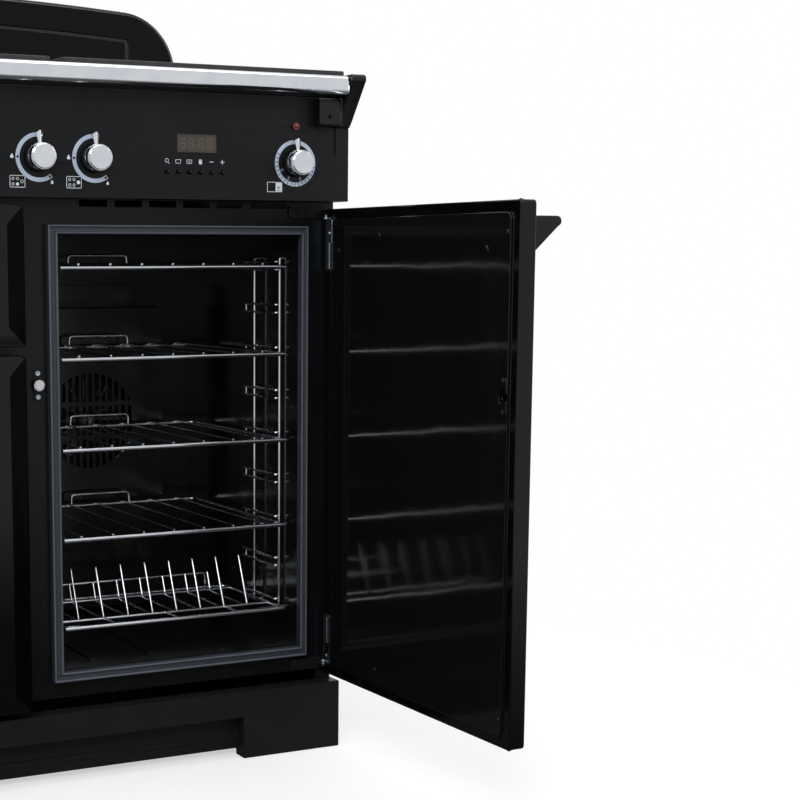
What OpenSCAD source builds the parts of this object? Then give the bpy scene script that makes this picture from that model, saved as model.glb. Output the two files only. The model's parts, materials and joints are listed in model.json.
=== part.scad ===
// Range cooker, 900 mm wide: tall oven on the right, oven and grill on the left,
// five gas burners on top. Millimetres, +Z up, doors face -Y.
// The tall oven's door stands open at rest. Positions in the modules are measured from
// the cabinet: X from its middle, Y back from the front frame, Z from the floor.

/* [Cabinet] */
// Overall width
cab_w = 900; // [850:10:950]
// Depth behind the front frame
cab_d = 561; // [520:1:600]
// Top of the hob rim above the floor
hob_z = 906; // [890:1:930]
// Thickness of pressed sheet
sheet = 1.5; // [0.8:0.1:2]
// Front face of the control panel
panel_y = -41; // [-60:1:-30]
// Lower edge of the control panel
panel_z = 750; // [700:1:780]
// Front face of the plinth's feet
plinth_y = -26.5; // [-40:0.5:-10]
// Top of the plinth
plinth_z = 93.4; // [60:0.1:120]

/* [Tall oven] */
// Cavity's left inner face
ov_x0 = 52; // [50:1:60]
// Cavity's right inner face
ov_x1 = 398; // [380:1:400]
// Cavity floor
ov_z0 = 144.5; // [130:0.5:160]
// Cavity ceiling
ov_z1 = 708; // [690:1:712]
// Cavity back wall, inner face
ov_back = 374; // [340:1:420]
// Lowest shelf level
level_z = 195.3; // [180:0.1:210]
// Pitch of the shelf levels
level_pitch = 58.8; // [50:0.1:65]
// Half the gap between the two wires of a level
level_gap = 5.5; // [5:0.1:7]

/* [Left oven and grill] */
// Left oven floor
lo_z0 = 144.5; // [130:0.5:160]
// Left oven ceiling
lo_z1 = 518; // [480:1:530]
// Grill chamber floor
gr_z0 = 592; // [585:1:600]
// Grill chamber ceiling
gr_z1 = 714; // [700:1:720]

/* [Doors] */
// Thickness of a door's rim
door_t = 22; // [18:0.5:26]
// Door's inner face when shut
door_in = -18; // [-20:0.5:-15]
// Height of the raised front panel
door_raise = 6; // [3:0.5:8]
// Width of the sloping border
door_bevel = 21; // [15:1:30]
// Hinge line of the tall door, from the middle
hinge_x = 432; // [425:1:440]
// Hinge line, in front of the frame
hinge_y = -13; // [-16:0.5:-10]
// Opening of the tall door at rest, degrees
door_open = 91; // [0:1:100]
// Lower edge of the tall and left doors
door_z0 = 102; // [98:1:110]
// Upper edge of the tall and grill doors
door_z1 = 741; // [735:1:745]
// Upper edge of the left oven door
lo_door_z1 = 556; // [540:1:560]
// Lower edge of the grill door
gr_door_z0 = 568; // [560:1:580]
// Pivot height of the grill door
gr_pivot_z = 576; // [572:1:580]
// Pivot of the grill door, in front of the frame
gr_pivot_y = -28; // [-32:1:-24]

/* [Controls] */
// Height of the knob centres
knob_z = 798.4; // [790:0.1:810]
// Hob knob under the middle burner
knob_x = 16; // [0:1:40]
// Pitch of the hob knobs
knob_pitch = 73; // [68:1:80]
// Distance of the outer knobs from the middle
knob_far = 370; // [360:1:380]
// Diameter of a knob's chrome cap
cap_d = 33; // [28:0.5:38]
// Spindle diameter
spindle_d = 8; // [6:0.5:10]
// Radial running clearance
run = 0.05; // [0.02:0.01:0.1]

/* [Hidden] */
$fn = 48;
half = cab_w / 2;
// the frame's origin is the middle of the whole outline, door open, at the floor
shift_x = -38.5;
shift_y = -67.8;
ov_mid = (ov_x0 + ov_x1) / 2;
black = [0.09, 0.09, 0.1];
enamel = [0.06, 0.06, 0.07];
chrome = [0.85, 0.86, 0.88];
zinc = [0.7, 0.73, 0.76];
cast = [0.05, 0.05, 0.05];
rubber = [0.35, 0.38, 0.42];
fold_w = 12.5;
wire_rest = 1.6;
shelf_z = [for (i = [8, 6, 4, 2, 0]) level_z + i * level_pitch - wire_rest];
knobs_x = [-knob_far, -knob_far + knob_pitch, knob_x - 3 * knob_pitch, knob_x - 2 * knob_pitch,
  knob_x - knob_pitch, knob_x, knob_x + knob_pitch, knob_far];
burners = [[-326, 395, 29], [-326, 120, 36], [-83, 395, 36], [-83, 120, 23], [248, 258, 55]];
button_x = [for (i = [0:5]) 187.2 + 15.5 * i];
fan_x = ov_mid;
fan_z = 435;
fan_y = 366;
support_x = [[4 - half, -207], [-203, 36], [51, half - 4]];
rail_end = half - 21;
rail_y = panel_y - 33;
rail_z = hob_z - 9;
roller_y = cab_d - 66;
upstand_y = cab_d - 35;
upstand_r = 94;
upstand_x = half + 1 - upstand_r;

// ---- building helpers ----
module place() {
  translate([shift_x, shift_y, 0]) children();
}

module span(a, b) {
  translate(a) cube(b - a);
}

module bar_x(x0, x1, y, z, d) {
  translate([x0, y, z]) rotate([0, 90, 0]) cylinder(h = x1 - x0, d = d);
}

module bar_y(y0, y1, x, z, d) {
  translate([x, y0, z]) rotate([-90, 0, 0]) cylinder(h = y1 - y0, d = d);
}

module bar_z(z0, z1, x, y, d) {
  translate([x, y, z0]) cylinder(h = z1 - z0, d = d);
}

// profile in X and Z, extruded back from y0
module front_plate(y0, t) {
  translate([0, y0 + t, 0]) rotate([90, 0, 0]) linear_extrude(height = t) children();
}

// profile in Y and Z, extruded right from x0
module side_plate(x0, t) {
  translate([x0, 0, 0]) rotate([90, 0, 90]) linear_extrude(height = t) children();
}

module flat_plate(z0, t) {
  translate([0, 0, z0]) linear_extrude(height = t) children();
}

module round_rect(x0, y0, x1, y1, r) {
  translate([x0 + r, y0]) square([x1 - x0 - 2 * r, y1 - y0]);
  translate([x0, y0 + r]) square([x1 - x0, y1 - y0 - 2 * r]);
  for (x = [x0 + r, x1 - r]) {
    for (y = [y0 + r, y1 - r]) {
      translate([x, y]) circle(r = r);
    }
  }
}

// round-cornered ring of width w
module ring_rect(x0, y0, x1, y1, w, r) {
  difference() {
    round_rect(x0, y0, x1, y1, r);
    round_rect(x0 + w, y0 + w, x1 - w, y1 - w, max(r - w, 1));
  }
}

// pan-head screw whose head stands on plane y, facing -Y
module front_screw(x, y, z, d) {
  difference() {
    bar_y(y - 1.4, y, x, z, d);
    span([x - d * 0.32, y - 1.5, z - 0.4], [x + d * 0.32, y - 0.8, z + 0.4]);
    span([x - 0.4, y - 1.5, z - d * 0.32], [x + 0.4, y - 0.8, z + d * 0.32]);
  }
}

// ---- cabinet ----
module side_panels() place() color(black) {
  for (s = [-1, 1]) {
    scale([s, 1, 1]) {
      span([half - sheet, sheet + 0.1, 12], [half, cab_d - 1, hob_z - 22]);
      span([half - 22, sheet + 0.1, 12], [half - sheet, sheet + 1.6, hob_z - 22]);
      span([half - 22, cab_d - 2.5, 12], [half - sheet, cab_d - 1, hob_z - 22]);
      span([half - 22, sheet + 1.6, 12], [half - sheet, cab_d - 2.5, 13.5]);
    }
  }
}

module back_panel() place() color(black) {
  front_plate(cab_d - 1, 1.2) difference() {
    translate([-half + 1, 14]) square([cab_w - 2, hob_z - 38]);
    for (i = [-6:6]) {
      for (z = [780, 800]) {
        translate([i * 60 - 22, z]) square([44, 7]);
      }
    }
    translate([300, 842]) circle(d = 28);
    translate([-300, 640]) circle(d = 20);
  }
  // terminal cover with its cable gland
  difference() {
    union() {
      span([-360, cab_d + 0.2, 596], [-240, cab_d + 12, 700]);
      bar_y(cab_d + 11, cab_d + 18, -300, 640, 26);
    }
    span([-358.5, cab_d, 597.5], [-241.5, cab_d + 10.5, 698.5]);
    bar_y(cab_d - 2, cab_d + 20, -300, 640, 14);
  }
  for (x = [-350, -250]) {
    bar_y(cab_d + 12, cab_d + 13.5, x, 688, 8);
  }
}

module base_tray() place() color(zinc) {
  difference() {
    span([-half + 2, 3.2, 13.5], [half - 2, cab_d - 3, 15]);
    for (s = [-1, 1]) {
      span([s * 380 - 15, roller_y - 30, 12], [s * 380 + 15, roller_y + 30, 16]);
      bar_z(12, 16, s * 400, 60, 10.4);
    }
  }
  span([-half + 23, 1.8, 13.5], [half - 23, 3.3, 60]);
  span([-half + 23, cab_d - 4.5, 15], [half - 23, cab_d - 3, 60]);
  // roller forks
  for (s = [-380, 380]) {
    for (e = [s - 15, s + 12.8]) {
      difference() {
        side_plate(e, 2.2) round_rect(roller_y - 25, 9, roller_y + 25, 52, 6);
        bar_x(e - 1, e + 4, roller_y, 20, 8 + 2 * run);
      }
    }
    span([s - 30, roller_y - 29, 15], [s - 15, roller_y + 29, 17]);
    span([s + 15, roller_y - 29, 15], [s + 30, roller_y + 29, 17]);
  }
}

module levelling_feet() place() color(zinc) {
  for (s = [-1, 1]) {
    bar_z(0, 4, s * 400, 60, 36);
    bar_z(4, 7, s * 400, 60, 24);
    bar_z(7, 46, s * 400, 60, 10);
    bar_z(15, 21, s * 400, 60, 17);
  }
}

module rear_rollers() place() color(cast) {
  for (s = [-380, 380]) {
    bar_x(s - 11.5, s + 11.5, roller_y, 20, 40);
    bar_x(s - 14.8, s + 14.8, roller_y, 20, 8);
  }
}

module front_frame() place() color(black) {
  front_plate(0, sheet) difference() {
    translate([-half, 107.5]) square([cab_w, 672.5]);
    round_rect(ov_x0 - 2, ov_z0 - 2, ov_x1 + 2, ov_z1 + 2, 8);
    round_rect(-ov_x1 - 2, lo_z0 - 2, -ov_x0 + 2, lo_z1 + 2, 8);
    round_rect(-ov_x1 - 2, gr_z0 - 2, -ov_x0 + 2, gr_z1 + 2, 8);
    for (s = [-1, 1]) {
      for (i = [0:4]) {
        translate([s * (103 + 48 * i) - 19, 741]) square([38, 8]);
      }
      translate([s * 352 - 27, 741]) square([54, 8]);
    }
  }
}

module plinth() place() color(black) {
  t = sheet;
  y = plinth_y;
  rec_x = 303;
  rec_z = 57.8;
  front_plate(y, t) difference() {
    translate([-half, 0]) square([cab_w, plinth_z]);
    translate([-rec_x, -1]) square([2 * rec_x, rec_z + 1]);
  }
  span([-rec_x, y + t, rec_z], [rec_x, -0.3, rec_z + t]);
  difference() {
    span([-rec_x, -t - 0.3, 8.5], [rec_x, -0.3, rec_z]);
    for (s = [-245, 245]) {
      bar_y(-4, 1, s, 26, 4.4);
    }
  }
  for (s = [-1, 1]) {
    scale([s, 1, 1]) {
      span([rec_x, y + t, 0], [rec_x + t, -0.3, rec_z + t]);
      span([half - t, y + t, 0], [half, sheet + 0.1, plinth_z - t]);
      span([rec_x + t, y + t, 0], [half - t, -8, t]);
    }
    front_screw(s * 245, -t - 0.3, 26, 8);
  }
  span([-half, y + t, plinth_z - t], [half, 0, plinth_z]);
}

// ---- top ----
module hob_tray() place() color(enamel) {
  z = hob_z;
  well_x = half - 18;
  well_y = cab_d - 51;
  // rim with its skirt
  difference() {
    flat_plate(z - 22, 22) round_rect(-half, panel_y, half, cab_d - 13, 6);
    flat_plate(z - 23, 21.5) round_rect(-half + 1.5, panel_y + 1.5, half - 1.5, cab_d - 14.5, 5);
    flat_plate(z - 3, 4) round_rect(-well_x, -16, well_x, well_y, 20);
  }
  // pressed well with raised burner seats
  difference() {
    union() {
      flat_plate(z - 9, 1.5) round_rect(-well_x - 1.5, -17.5, well_x + 1.5, well_y + 1.5, 21);
      difference() {
        flat_plate(z - 9, 8) round_rect(-well_x - 1.5, -17.5, well_x + 1.5, well_y + 1.5, 21);
        flat_plate(z - 10, 10) round_rect(-well_x, -16, well_x, well_y, 20);
      }
      for (b = burners) {
        bar_z(z - 9, z - 4, b[0], b[1], 2 * b[2] + 30);
      }
    }
    for (b = burners) {
      bar_z(z - 10, z - 5.5, b[0], b[1], 2 * b[2] + 27);
      bar_z(z - 10, z, b[0], b[1], 2 * b[2] - 10);
    }
  }
}

module rear_upstand() place() color(enamel) {
  y = upstand_y;
  difference() {
    union() {
      front_plate(y + 4, 14) upstand_outline(0);
      front_plate(y, 4) upstand_outline(4);
    }
    // groove pressed along the arch, and the open back
    front_plate(y - 0.5, 2.5) difference() {
      upstand_groove(0);
      upstand_groove(5);
    }
    front_plate(y + 6, 13) upstand_outline(6);
  }
}

module upstand_outline(e) {
  z0 = hob_z;
  zc = z0 + 62;
  intersection() {
    translate([-upstand_x, z0]) square([2 * upstand_x, 200]);
    translate([0, z0 + 169 - e - 5000]) circle(r = 5000, $fn = 360);
  }
  for (s = [-1, 1]) {
    translate([s > 0 ? upstand_x - 7 : -half - 1 + e, z0]) square([upstand_r + 7 - e, zc - z0]);
    intersection() {
      translate([s > 0 ? upstand_x - 1 : -upstand_x - 99, zc - 1]) square([100, 110]);
      translate([s * upstand_x, zc]) circle(r = upstand_r - e, $fn = 120);
    }
  }
}

module upstand_groove(e) {
  z0 = hob_z;
  intersection() {
    round_rect(-upstand_x - 12 + e, z0 - 60, upstand_x + 12 - e, z0 + 126 - e, 22 - e);
    translate([0, z0 + 127 - e - 5000]) circle(r = 5000, $fn = 360);
  }
}

module control_panel() place() color(black) {
  t = sheet;
  y = panel_y;
  top = hob_z - 22.2;
  front_plate(y, t) difference() {
    translate([-half, panel_z]) square([cab_w, top - panel_z]);
    for (x = knobs_x) {
      translate([x, knob_z]) circle(d = 13);
    }
    translate([201, 808.5]) square([56, 23.5]);
    for (x = button_x) {
      translate([x, 784]) circle(d = 5.6);
    }
    translate([knob_far, 845.8]) circle(d = 7);
  }
  span([-half, y + t, panel_z], [half, -0.5, panel_z + t]);
  span([-half, y + t, top - t], [half, -0.5, top]);
  for (s = [-1, 1]) {
    scale([s, 1, 1]) span([half - t, y + t, panel_z + t], [half, -0.5, top - t]);
  }
  span([-half, -2, panel_z + t], [half, -0.5, panel_z + 14]);
}

// wedge bracket profile in Y and Z: foot at y0, tip forward by reach, top at z
module wedge(y0, reach, z, drop) {
  r = 6;
  difference() {
    union() {
      polygon([[y0, z], [y0 - reach + r, z], [y0 - reach, z - r - 2], [y0 - 10, z - drop + 8],
        [y0 - 4, z - drop + 1], [y0, z - drop]]);
      translate([y0 - reach + r, z - r]) circle(r = r);
    }
    translate([y0, z - drop - 5]) square([50, drop + 20]);
  }
}

module handrail_bar() place() color(chrome) {
  // flattened tube, 24 high and 15 deep
  difference() {
    side_plate(-rail_end, 2 * rail_end) rail_profile(rail_y, rail_z, 24, 15);
    side_plate(4 - rail_end, 2 * rail_end - 8) rail_profile(rail_y, rail_z, 20, 11);
  }
}

module rail_profile(y, z, h, d) {
  translate([y - d / 2, z - h / 2 + d / 2]) square([d, h - d]);
  for (s = [-1, 1]) {
    translate([y, z + s * (h - d) / 2]) circle(d = d);
  }
}

module handrail_brackets() place() color(black) {
  screw_x = rail_end - 18;
  screw_z = rail_z - 39;
  for (s = [-1, 1]) {
    scale([s, 1, 1]) {
      difference() {
        union() {
          side_plate(rail_end, half - rail_end - 0.5) wedge(panel_y, 47, rail_z + 14, 66);
          // foot boss on the panel, behind the rail
          side_plate(rail_end - 33, 33) round_rect(panel_y - 19, rail_z - 51, panel_y, rail_z - 15, 4);
        }
        bar_y(panel_y - 23, panel_y + 1, screw_x, screw_z, 5);
      }
      difference() {
        bar_y(panel_y - 17, panel_y - 15, screw_x, screw_z, 8.5);
        bar_y(panel_y - 18, panel_y - 16, screw_x, screw_z, 4);
      }
      bar_y(panel_y - 15, panel_y - 0.5, screw_x, screw_z, 4.6);
    }
  }
}

// ---- ovens ----
module liner_box(x0, x1, z0, z1, back, t) {
  difference() {
    span([x0 - t, sheet, z0 - t], [x1 + t, back + t, z1 + t]);
    span([x0, 0, z0], [x1, back, z1]);
  }
}

module right_oven_liner() place() color(enamel) {
  difference() {
    liner_box(ov_x0, ov_x1, ov_z0, ov_z1, ov_back, 1.9);
    bar_y(ov_back - 3, ov_back + 5, fan_x, fan_z, 16);
    for (s = [-1, 1]) {
      bar_y(ov_back - 3, ov_back + 5, fan_x + s * 30, fan_z + 85, 9);
    }
  }
  // shelf guides pressed into the floor
  for (x = [110, 195, 255, 340]) {
    span([x - 4, 40, ov_z0], [x + 4, 320, ov_z0 + 2]);
  }
}

module left_oven_and_grill_liners() place() color(enamel) {
  difference() {
    liner_box(-ov_x1, -ov_x0, lo_z0, lo_z1, ov_back, 1.9);
    for (s = [-1, 1]) {
      bar_y(ov_back - 3, ov_back + 5, -ov_mid + s * 70, 480, 9);
    }
  }
  difference() {
    liner_box(-ov_x1, -ov_x0, gr_z0, gr_z1, 340, 1.9);
    for (s = [-1, 1]) {
      bar_y(335, 345, -ov_mid + s * 60, 690, 9);
    }
  }
  // runners for the grill pan
  for (x = [-ov_x1, -ov_x0 - 12]) {
    span([x, 30, 658.9], [x + 12, 330, 660.7]);
  }
}

module oven_door_gaskets() place() color(rubber) {
  front_plate(-12.5, 12.5) ring_rect(40, 132.5, 410, 720, 13, 4);
  front_plate(-12.5, 12.5) ring_rect(-410, 132.5, -40, 531, 13, 4);
}

module side_rack(levels, z0) {
  // drawn against a wall at x = 0, reaching towards -X
  top = z0 + (levels - 1) * level_pitch;
  bar_z(z0 - 9, top + 11, -4, 49, 4.6);
  bar_z(z0 - 9, top + 11, -8.4, 118, 4.6);
  for (i = [0:levels - 1]) {
    z = z0 + i * level_pitch;
    for (s = [-level_gap, level_gap]) {
      bar_y(47.2, 149.8, -11, z + s, 3.6);
      bar_x(-11, -4, 49, z + s, 3.2);
      bar_x(-11, -6.5, 148, z + s, 3.2);
    }
    bar_z(z - level_gap - 1.3, z + level_gap + 1.3, -6.5, 148, 4.1);
  }
  // stubs to the wall, midway between levels
  for (z = [z0 + level_pitch / 2, top - level_pitch / 2]) {
    bar_x(-4, -0.1, 49, z, 4);
    bar_x(-8.4, -0.1, 118, z, 4);
  }
}

module right_oven_side_racks() place() color(chrome) {
  translate([ov_x1, 0, 0]) side_rack(9, level_z);
  translate([ov_x0, 0, 0]) scale([-1, 1, 1]) side_rack(9, level_z);
}

module fan_baffle() place() color(enamel) {
  x0 = 105;
  x1 = 342;
  y = 338;
  front_plate(y, 1.3) difference() {
    translate([x0, 150]) square([x1 - x0, 452]);
    // round grille of upright slots in three bands
    intersection() {
      translate([fan_x, fan_z]) circle(r = 71);
      union() {
        for (i = [-6:6]) {
          for (band = [-72, -21.5, 29]) {
            translate([fan_x + i * 10.5 - 3.1, fan_z + band]) square([6.2, 43]);
          }
        }
      }
    }
  }
  span([x1 - 1.3, y + 1.3, 150], [x1, ov_back, 602]);
  span([x0, y + 1.3, 150], [x0 + 1.3, ov_back, 602]);
  span([x0 + 1.3, y + 1.3, 150], [x1 - 1.3, ov_back, 151.3]);
  // hood over the upper outlet
  for (x = [x0, x1 - 1.3]) {
    span([x, y + 19.3, 602], [x + 1.3, ov_back, 636]);
  }
  span([x0, y + 18, 612], [x1, y + 19.3, 636]);
  span([x0, y + 19.3, 634.7], [x1, ov_back, 636]);
  for (z = [180, 400, 580]) {
    for (x = [x0 + 9, x1 - 9]) {
      front_screw(x, y, z, 7);
    }
  }
}

module convection_fan() place() color(chrome) {
  translate([fan_x, fan_y, fan_z]) rotate([90, 0, 0]) {
    difference() {
      union() {
        cylinder(h = 1.2, d = 126);
        cylinder(h = 20, d = 20);
        for (i = [0:11]) {
          rotate([0, 0, i * 30]) translate([18, -0.6, 1]) cube([43, 1.2, 17]);
        }
      }
      translate([0, 0, -1]) cylinder(h = 30, d = 8 + 2 * run);
    }
  }
}

module fan_motor_and_ring_element() place() color(zinc) {
  bar_y(348, 379, fan_x, fan_z, 8);
  bar_y(367.5, 372, fan_x, fan_z, 14);
  bar_y(ov_back + 1.9, 379, fan_x, fan_z, 70);
  bar_y(379, 424, fan_x, fan_z, 62);
  bar_y(424, 436, fan_x, fan_z, 20);
  // ring element round the fan
  translate([fan_x, 356, fan_z]) rotate([90, 0, 0]) {
    rotate_extrude() translate([78, 0]) circle(d = 6.5);
  }
  for (s = [-1, 1]) {
    bar_z(fan_z + 74, fan_z + 86, fan_x + s * 30, 356, 6.5);
    bar_y(356, 390, fan_x + s * 30, fan_z + 85, 6.5);
  }
  span([fan_x - 42, ov_back + 1.9, fan_z + 77], [fan_x + 42, ov_back + 3.4, fan_z + 93]);
}

// flat wire shelf: lies in the plane z, its left side at x0 and its right side at x1
module wire_shelf(x0, x1, z, guard) {
  y0 = 18;
  y1 = 314;
  bar_x(x0 - 2, x1 + 2, y0, z, 6);
  bar_x(x0, x1, y1, z, 5);
  for (x = [x0, x1]) {
    bar_y(y0 + 8, y1, x, z, 5);
    translate([x, y1, z]) sphere(d = 5.3);
    translate([x, y0 + 8, z]) sphere(d = 5.3);
  }
  bar_x(x0, x0 + 30, y0 + 8, z, 5);
  bar_x(x1 - 30, x1, y0 + 8, z, 5);
  mid = (x0 + x1) / 2;
  for (i = [-3:3]) {
    bar_y(y0 - 0.5, y1, mid + i * 44 - 5, z + 3.4, 3);
  }
  if (guard) {
    for (s = [-1, 1]) {
      bar_z(z, z + 14, mid + 6 + s * 46, y1 + 4, 4);
      bar_y(y1 - 1, y1 + 4, mid + 6 + s * 46, z, 4);
      translate([mid + 6 + s * 46, y1 + 4, z]) sphere(d = 4.3);
      translate([mid + 6 + s * 46, y1 + 4, z + 14]) sphere(d = 4.3);
    }
    bar_x(mid - 40, mid + 52, y1 + 4, z + 14, 4);
  }
}

module oven_shelf_1() place() color(chrome) wire_shelf(65.5, 384.5, shelf_z[0], true);
module oven_shelf_2() place() color(chrome) wire_shelf(65.5, 384.5, shelf_z[1], true);
module oven_shelf_3() place() color(chrome) wire_shelf(65.5, 384.5, shelf_z[2], true);
module oven_shelf_4() place() color(chrome) wire_shelf(65.5, 384.5, shelf_z[3], true);

module plate_warming_rack() place() color(chrome) {
  z = shelf_z[4];
  x0 = 65.5;
  x1 = 384.5;
  bar_x(x0 - 2, x1 + 2, 18, z, 6);
  bar_x(x0 + 8, x1 - 8, 62, z, 4.5);
  bar_x(x0, x1, 204, z, 5);
  bar_x(x0, x1, 186, z, 4);
  for (x = [x0, x1]) {
    bar_y(26, 204, x, z, 5);
    translate([x, 204, z]) sphere(d = 5.3);
    bar_x(x > 200 ? x - 30 : x, x > 200 ? x : x + 30, 26, z, 5);
    translate([x, 26, z]) sphere(d = 5.3);
    bar_z(z, z + 22, x > 200 ? x - 34 : x + 34, 204, 4);
    bar_y(62, 204, x > 200 ? x - 8 : x + 8, z, 4);
  }
  bar_x(x0 + 32, x1 - 32, 204, z + 22, 4);
  // slanted uprights hold the plates on edge
  for (i = [0:7]) {
    x = ov_mid + (i - 3.5) * 36;
    translate([x, 62, z]) rotate([-24, 0, 0]) cylinder(h = 72, d = 3.4);
    translate([x, 186, z]) rotate([-24, 0, 0]) cylinder(h = 26, d = 3.4);
    bar_y(62, 186, x, z - 3, 3);
  }
  for (x = [ov_mid - 90, ov_mid, ov_mid + 90]) {
    bar_y(18, 62, x, z, 3.4);
  }
}

module left_oven_racks_and_shelves() place() color(chrome) {
  translate([-ov_x0, 0, 0]) side_rack(5, 200);
  translate([-ov_x1, 0, 0]) scale([-1, 1, 1]) side_rack(5, 200);
  for (i = [1, 3]) {
    wire_shelf(-384.5, -65.5, 200 + i * level_pitch - wire_rest, true);
  }
}

module grill_element() place() color(zinc) {
  z = 697;
  for (i = [0:5]) {
    bar_x(-360, -90, 60 + i * 44, z, 6.5);
  }
  for (i = [0:4]) {
    x = (i % 2 == 0) ? -90 : -360;
    bar_y(60 + i * 44, 104 + i * 44, x, z, 6.5);
    translate([x, 60 + i * 44, z]) sphere(d = 6.8);
    translate([x, 104 + i * 44, z]) sphere(d = 6.8);
  }
  for (s = [-1, 1]) {
    bar_y(s > 0 ? 60 : 280, 360, -ov_mid + s * 60, z - 7, 6.5);
    bar_z(z - 7, z, -ov_mid + s * 60, s > 0 ? 60 : 280, 6.5);
  }
  // hangers
  for (y = [103, 235]) {
    span([-340, y, z + 2], [-335, y + 2, 713.9]);
    span([-115, y, z + 2], [-110, y + 2, 713.9]);
  }
}

module grill_pan() place() color(enamel) {
  difference() {
    flat_plate(636.2, 26) round_rect(-384, 30, -66, 322, 12);
    flat_plate(637.7, 26) round_rect(-382.5, 31.5, -67.5, 320.5, 11);
  }
  span([-392, 34, 660.7], [-384, 318, 662.2]);
  span([-66, 34, 660.7], [-58, 318, 662.2]);
  // trivet inside the pan
  for (y = [44, 308]) {
    bar_x(-378, -72, y, 648, 4);
  }
  for (x = [-378, -324, -270, -225, -180, -126, -72]) {
    bar_y(44, 308, x, 648, 3);
  }
  for (x = [-372, -78]) {
    for (y = [60, 290]) {
      bar_z(637.7, 648, x, y, 4);
      bar_x(x < -200 ? x - 6 : x, x < -200 ? x : x + 6, y, 648, 4);
    }
  }
}

// ---- gas parts ----
module burner_bases() place() color(zinc) {
  z = hob_z - 4;
  for (b = burners) {
    r = b[2];
    difference() {
      union() {
        bar_z(z - 24, z, b[0], b[1], 2 * r - 11);
        bar_z(z, z + 5, b[0], b[1], 2 * r + 14);
        bar_z(z + 5, z + 15, b[0], b[1], 2 * r);
      }
      bar_z(z - 18, z + 16, b[0], b[1], 2 * r - 18);
      // flame ports round the crown
      for (a = [0:24:359]) {
        translate([b[0], b[1], z + 11]) rotate([0, 90, a + 12]) {
          translate([0, 0, r - 12]) cylinder(h = 16, d = 3);
        }
      }
    }
    // igniter beside the crown
    bar_z(z + 4, z + 14, b[0] + r + 4.5, b[1], 4);
  }
}

module burner_caps() place() color(cast) {
  z = hob_z + 11;
  for (b = burners) {
    r = b[2];
    translate([b[0], b[1], z]) rotate_extrude() {
      difference() {
        union() {
          square([r + 2, 4]);
          translate([0, 4]) square([r - 3, 3]);
          intersection() {
            translate([r - 3, 2]) circle(r = 5);
            square([r + 2, 7]);
          }
        }
        translate([-10, -5]) square([10, 20]);
      }
    }
    difference() {
      bar_z(z - 5, z, b[0], b[1], 2 * r - 18.6);
      bar_z(z - 6, z + 1, b[0], b[1], 2 * r - 24);
    }
  }
}

module gas_rail_and_taps() place() color(zinc) {
  z = 855;
  y = 22;
  // manifold from the taps to the inlet at the back
  bar_x(-215, 306, y, z, 16);
  translate([306, y, z]) sphere(d = 16);
  bar_y(y, cab_d - 15, 306, z, 16);
  difference() {
    union() {
      bar_y(cab_d - 15, cab_d + 18, 300, 842, 26);
      bar_z(842, z, 303, cab_d - 12, 15);
    }
    bar_y(cab_d - 8, cab_d + 19, 300, 842, 18.6);
  }
  // one tap behind each knob
  for (x = knobs_x) {
    difference() {
      union() {
        bar_y(-30, 10, x, knob_z, 18);
        if (abs(x) < 300 && x > -250) {
          span([x - 9, 6, knob_z], [x + 9, 24, z]);
        }
        span([x - 15, -39.4, knob_z - 15], [x + 15, -30, knob_z + 15]);
      }
      bar_y(-42, -12, x, knob_z, spindle_d + 2 * run);
    }
  }
}

module clock_display() place() color(cast) {
  span([196, -39.4, 803], [262, -20, 838]);
  span([201.4, -40.6, 808.9], [256.6, -39.4, 831.6]);
  difference() {
    span([182, -38.9, 776.5], [270, -33, 791.5]);
    for (x = button_x) {
      bar_y(-41, -32, x, 784, 4.1);
    }
  }
}

module indicator_lamp() place() color([0.6, 0.05, 0.04]) {
  bar_y(-44.2, -41.05, knob_far, 845.8, 9);
  bar_y(-41.1, -22, knob_far, 845.8, 6.6);
  translate([knob_far, -44.2, 845.8]) sphere(d = 5);
}

module frame_hinge_brackets_and_catches() place() color(zinc) {
  for (s = [-1, 1]) {
    scale([s, 1, 1]) {
      // tall door at the top, left oven door at its own height
      zt = s > 0 ? 733 : 546;
      front_plate(-3, 3) round_rect(s > 0 ? 381 : 386, zt - 4, 435, zt + 12, 4);
      hinge_tongue(zt, -1);
      hinge_tongue(113.5, 1);
      front_plate(-3, 3) round_rect(386, 108.5, 435, 124, 4);
      for (x = s > 0 ? [393.6, 409.1] : [396, 410]) {
        front_screw(x, -3, zt + 5, 7);
        front_screw(x, -3, 118, 7);
      }
    }
  }
  // grill door arms reach into the door
  for (x = [-426, -20]) {
    difference() {
      union() {
        span([x - 1.5, gr_pivot_y, gr_pivot_z - 4.5], [x + 1.5, 0, gr_pivot_z + 4.5]);
        bar_x(x - 1.5, x + 1.5, gr_pivot_y, gr_pivot_z, 9);
        span([x - 6, -2, gr_pivot_z - 8], [x + 6, 0, gr_pivot_z + 8]);
      }
      bar_x(x - 3, x + 3, gr_pivot_y, gr_pivot_z, 4 + 2 * run);
    }
  }
  // door catches on the middle stile
  for (c = [[24.5, 517], [-24.5, 331]]) {
    bar_y(-7.5, 0, c[0], c[1], 14.6);
    translate([c[0], -7.5, c[1]]) rotate([90, 0, 0]) cylinder(h = 1.5, d = 11);
    span([c[0] - 6, -1.2, c[1] - 21], [c[0] + 6, 0, c[1] + 21]);
    front_screw(c[0], -1.2, c[1] + 15, 6.4);
    front_screw(c[0], -1.2, c[1] - 15, 6.4);
  }
}

// flat tongue at height z with its pin pointing up (dir 1) or down (dir -1)
module hinge_tongue(z, dir) {
  span([hinge_x - 4.4, hinge_y, z], [hinge_x + 1.5, -2.9, z + 3]);
  bar_z(z, z + 3, hinge_x, hinge_y, 8.8);
  bar_z(dir > 0 ? z + 3 : z - 6, dir > 0 ? z + 9 : z, hinge_x, hinge_y, 4);
}

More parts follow.
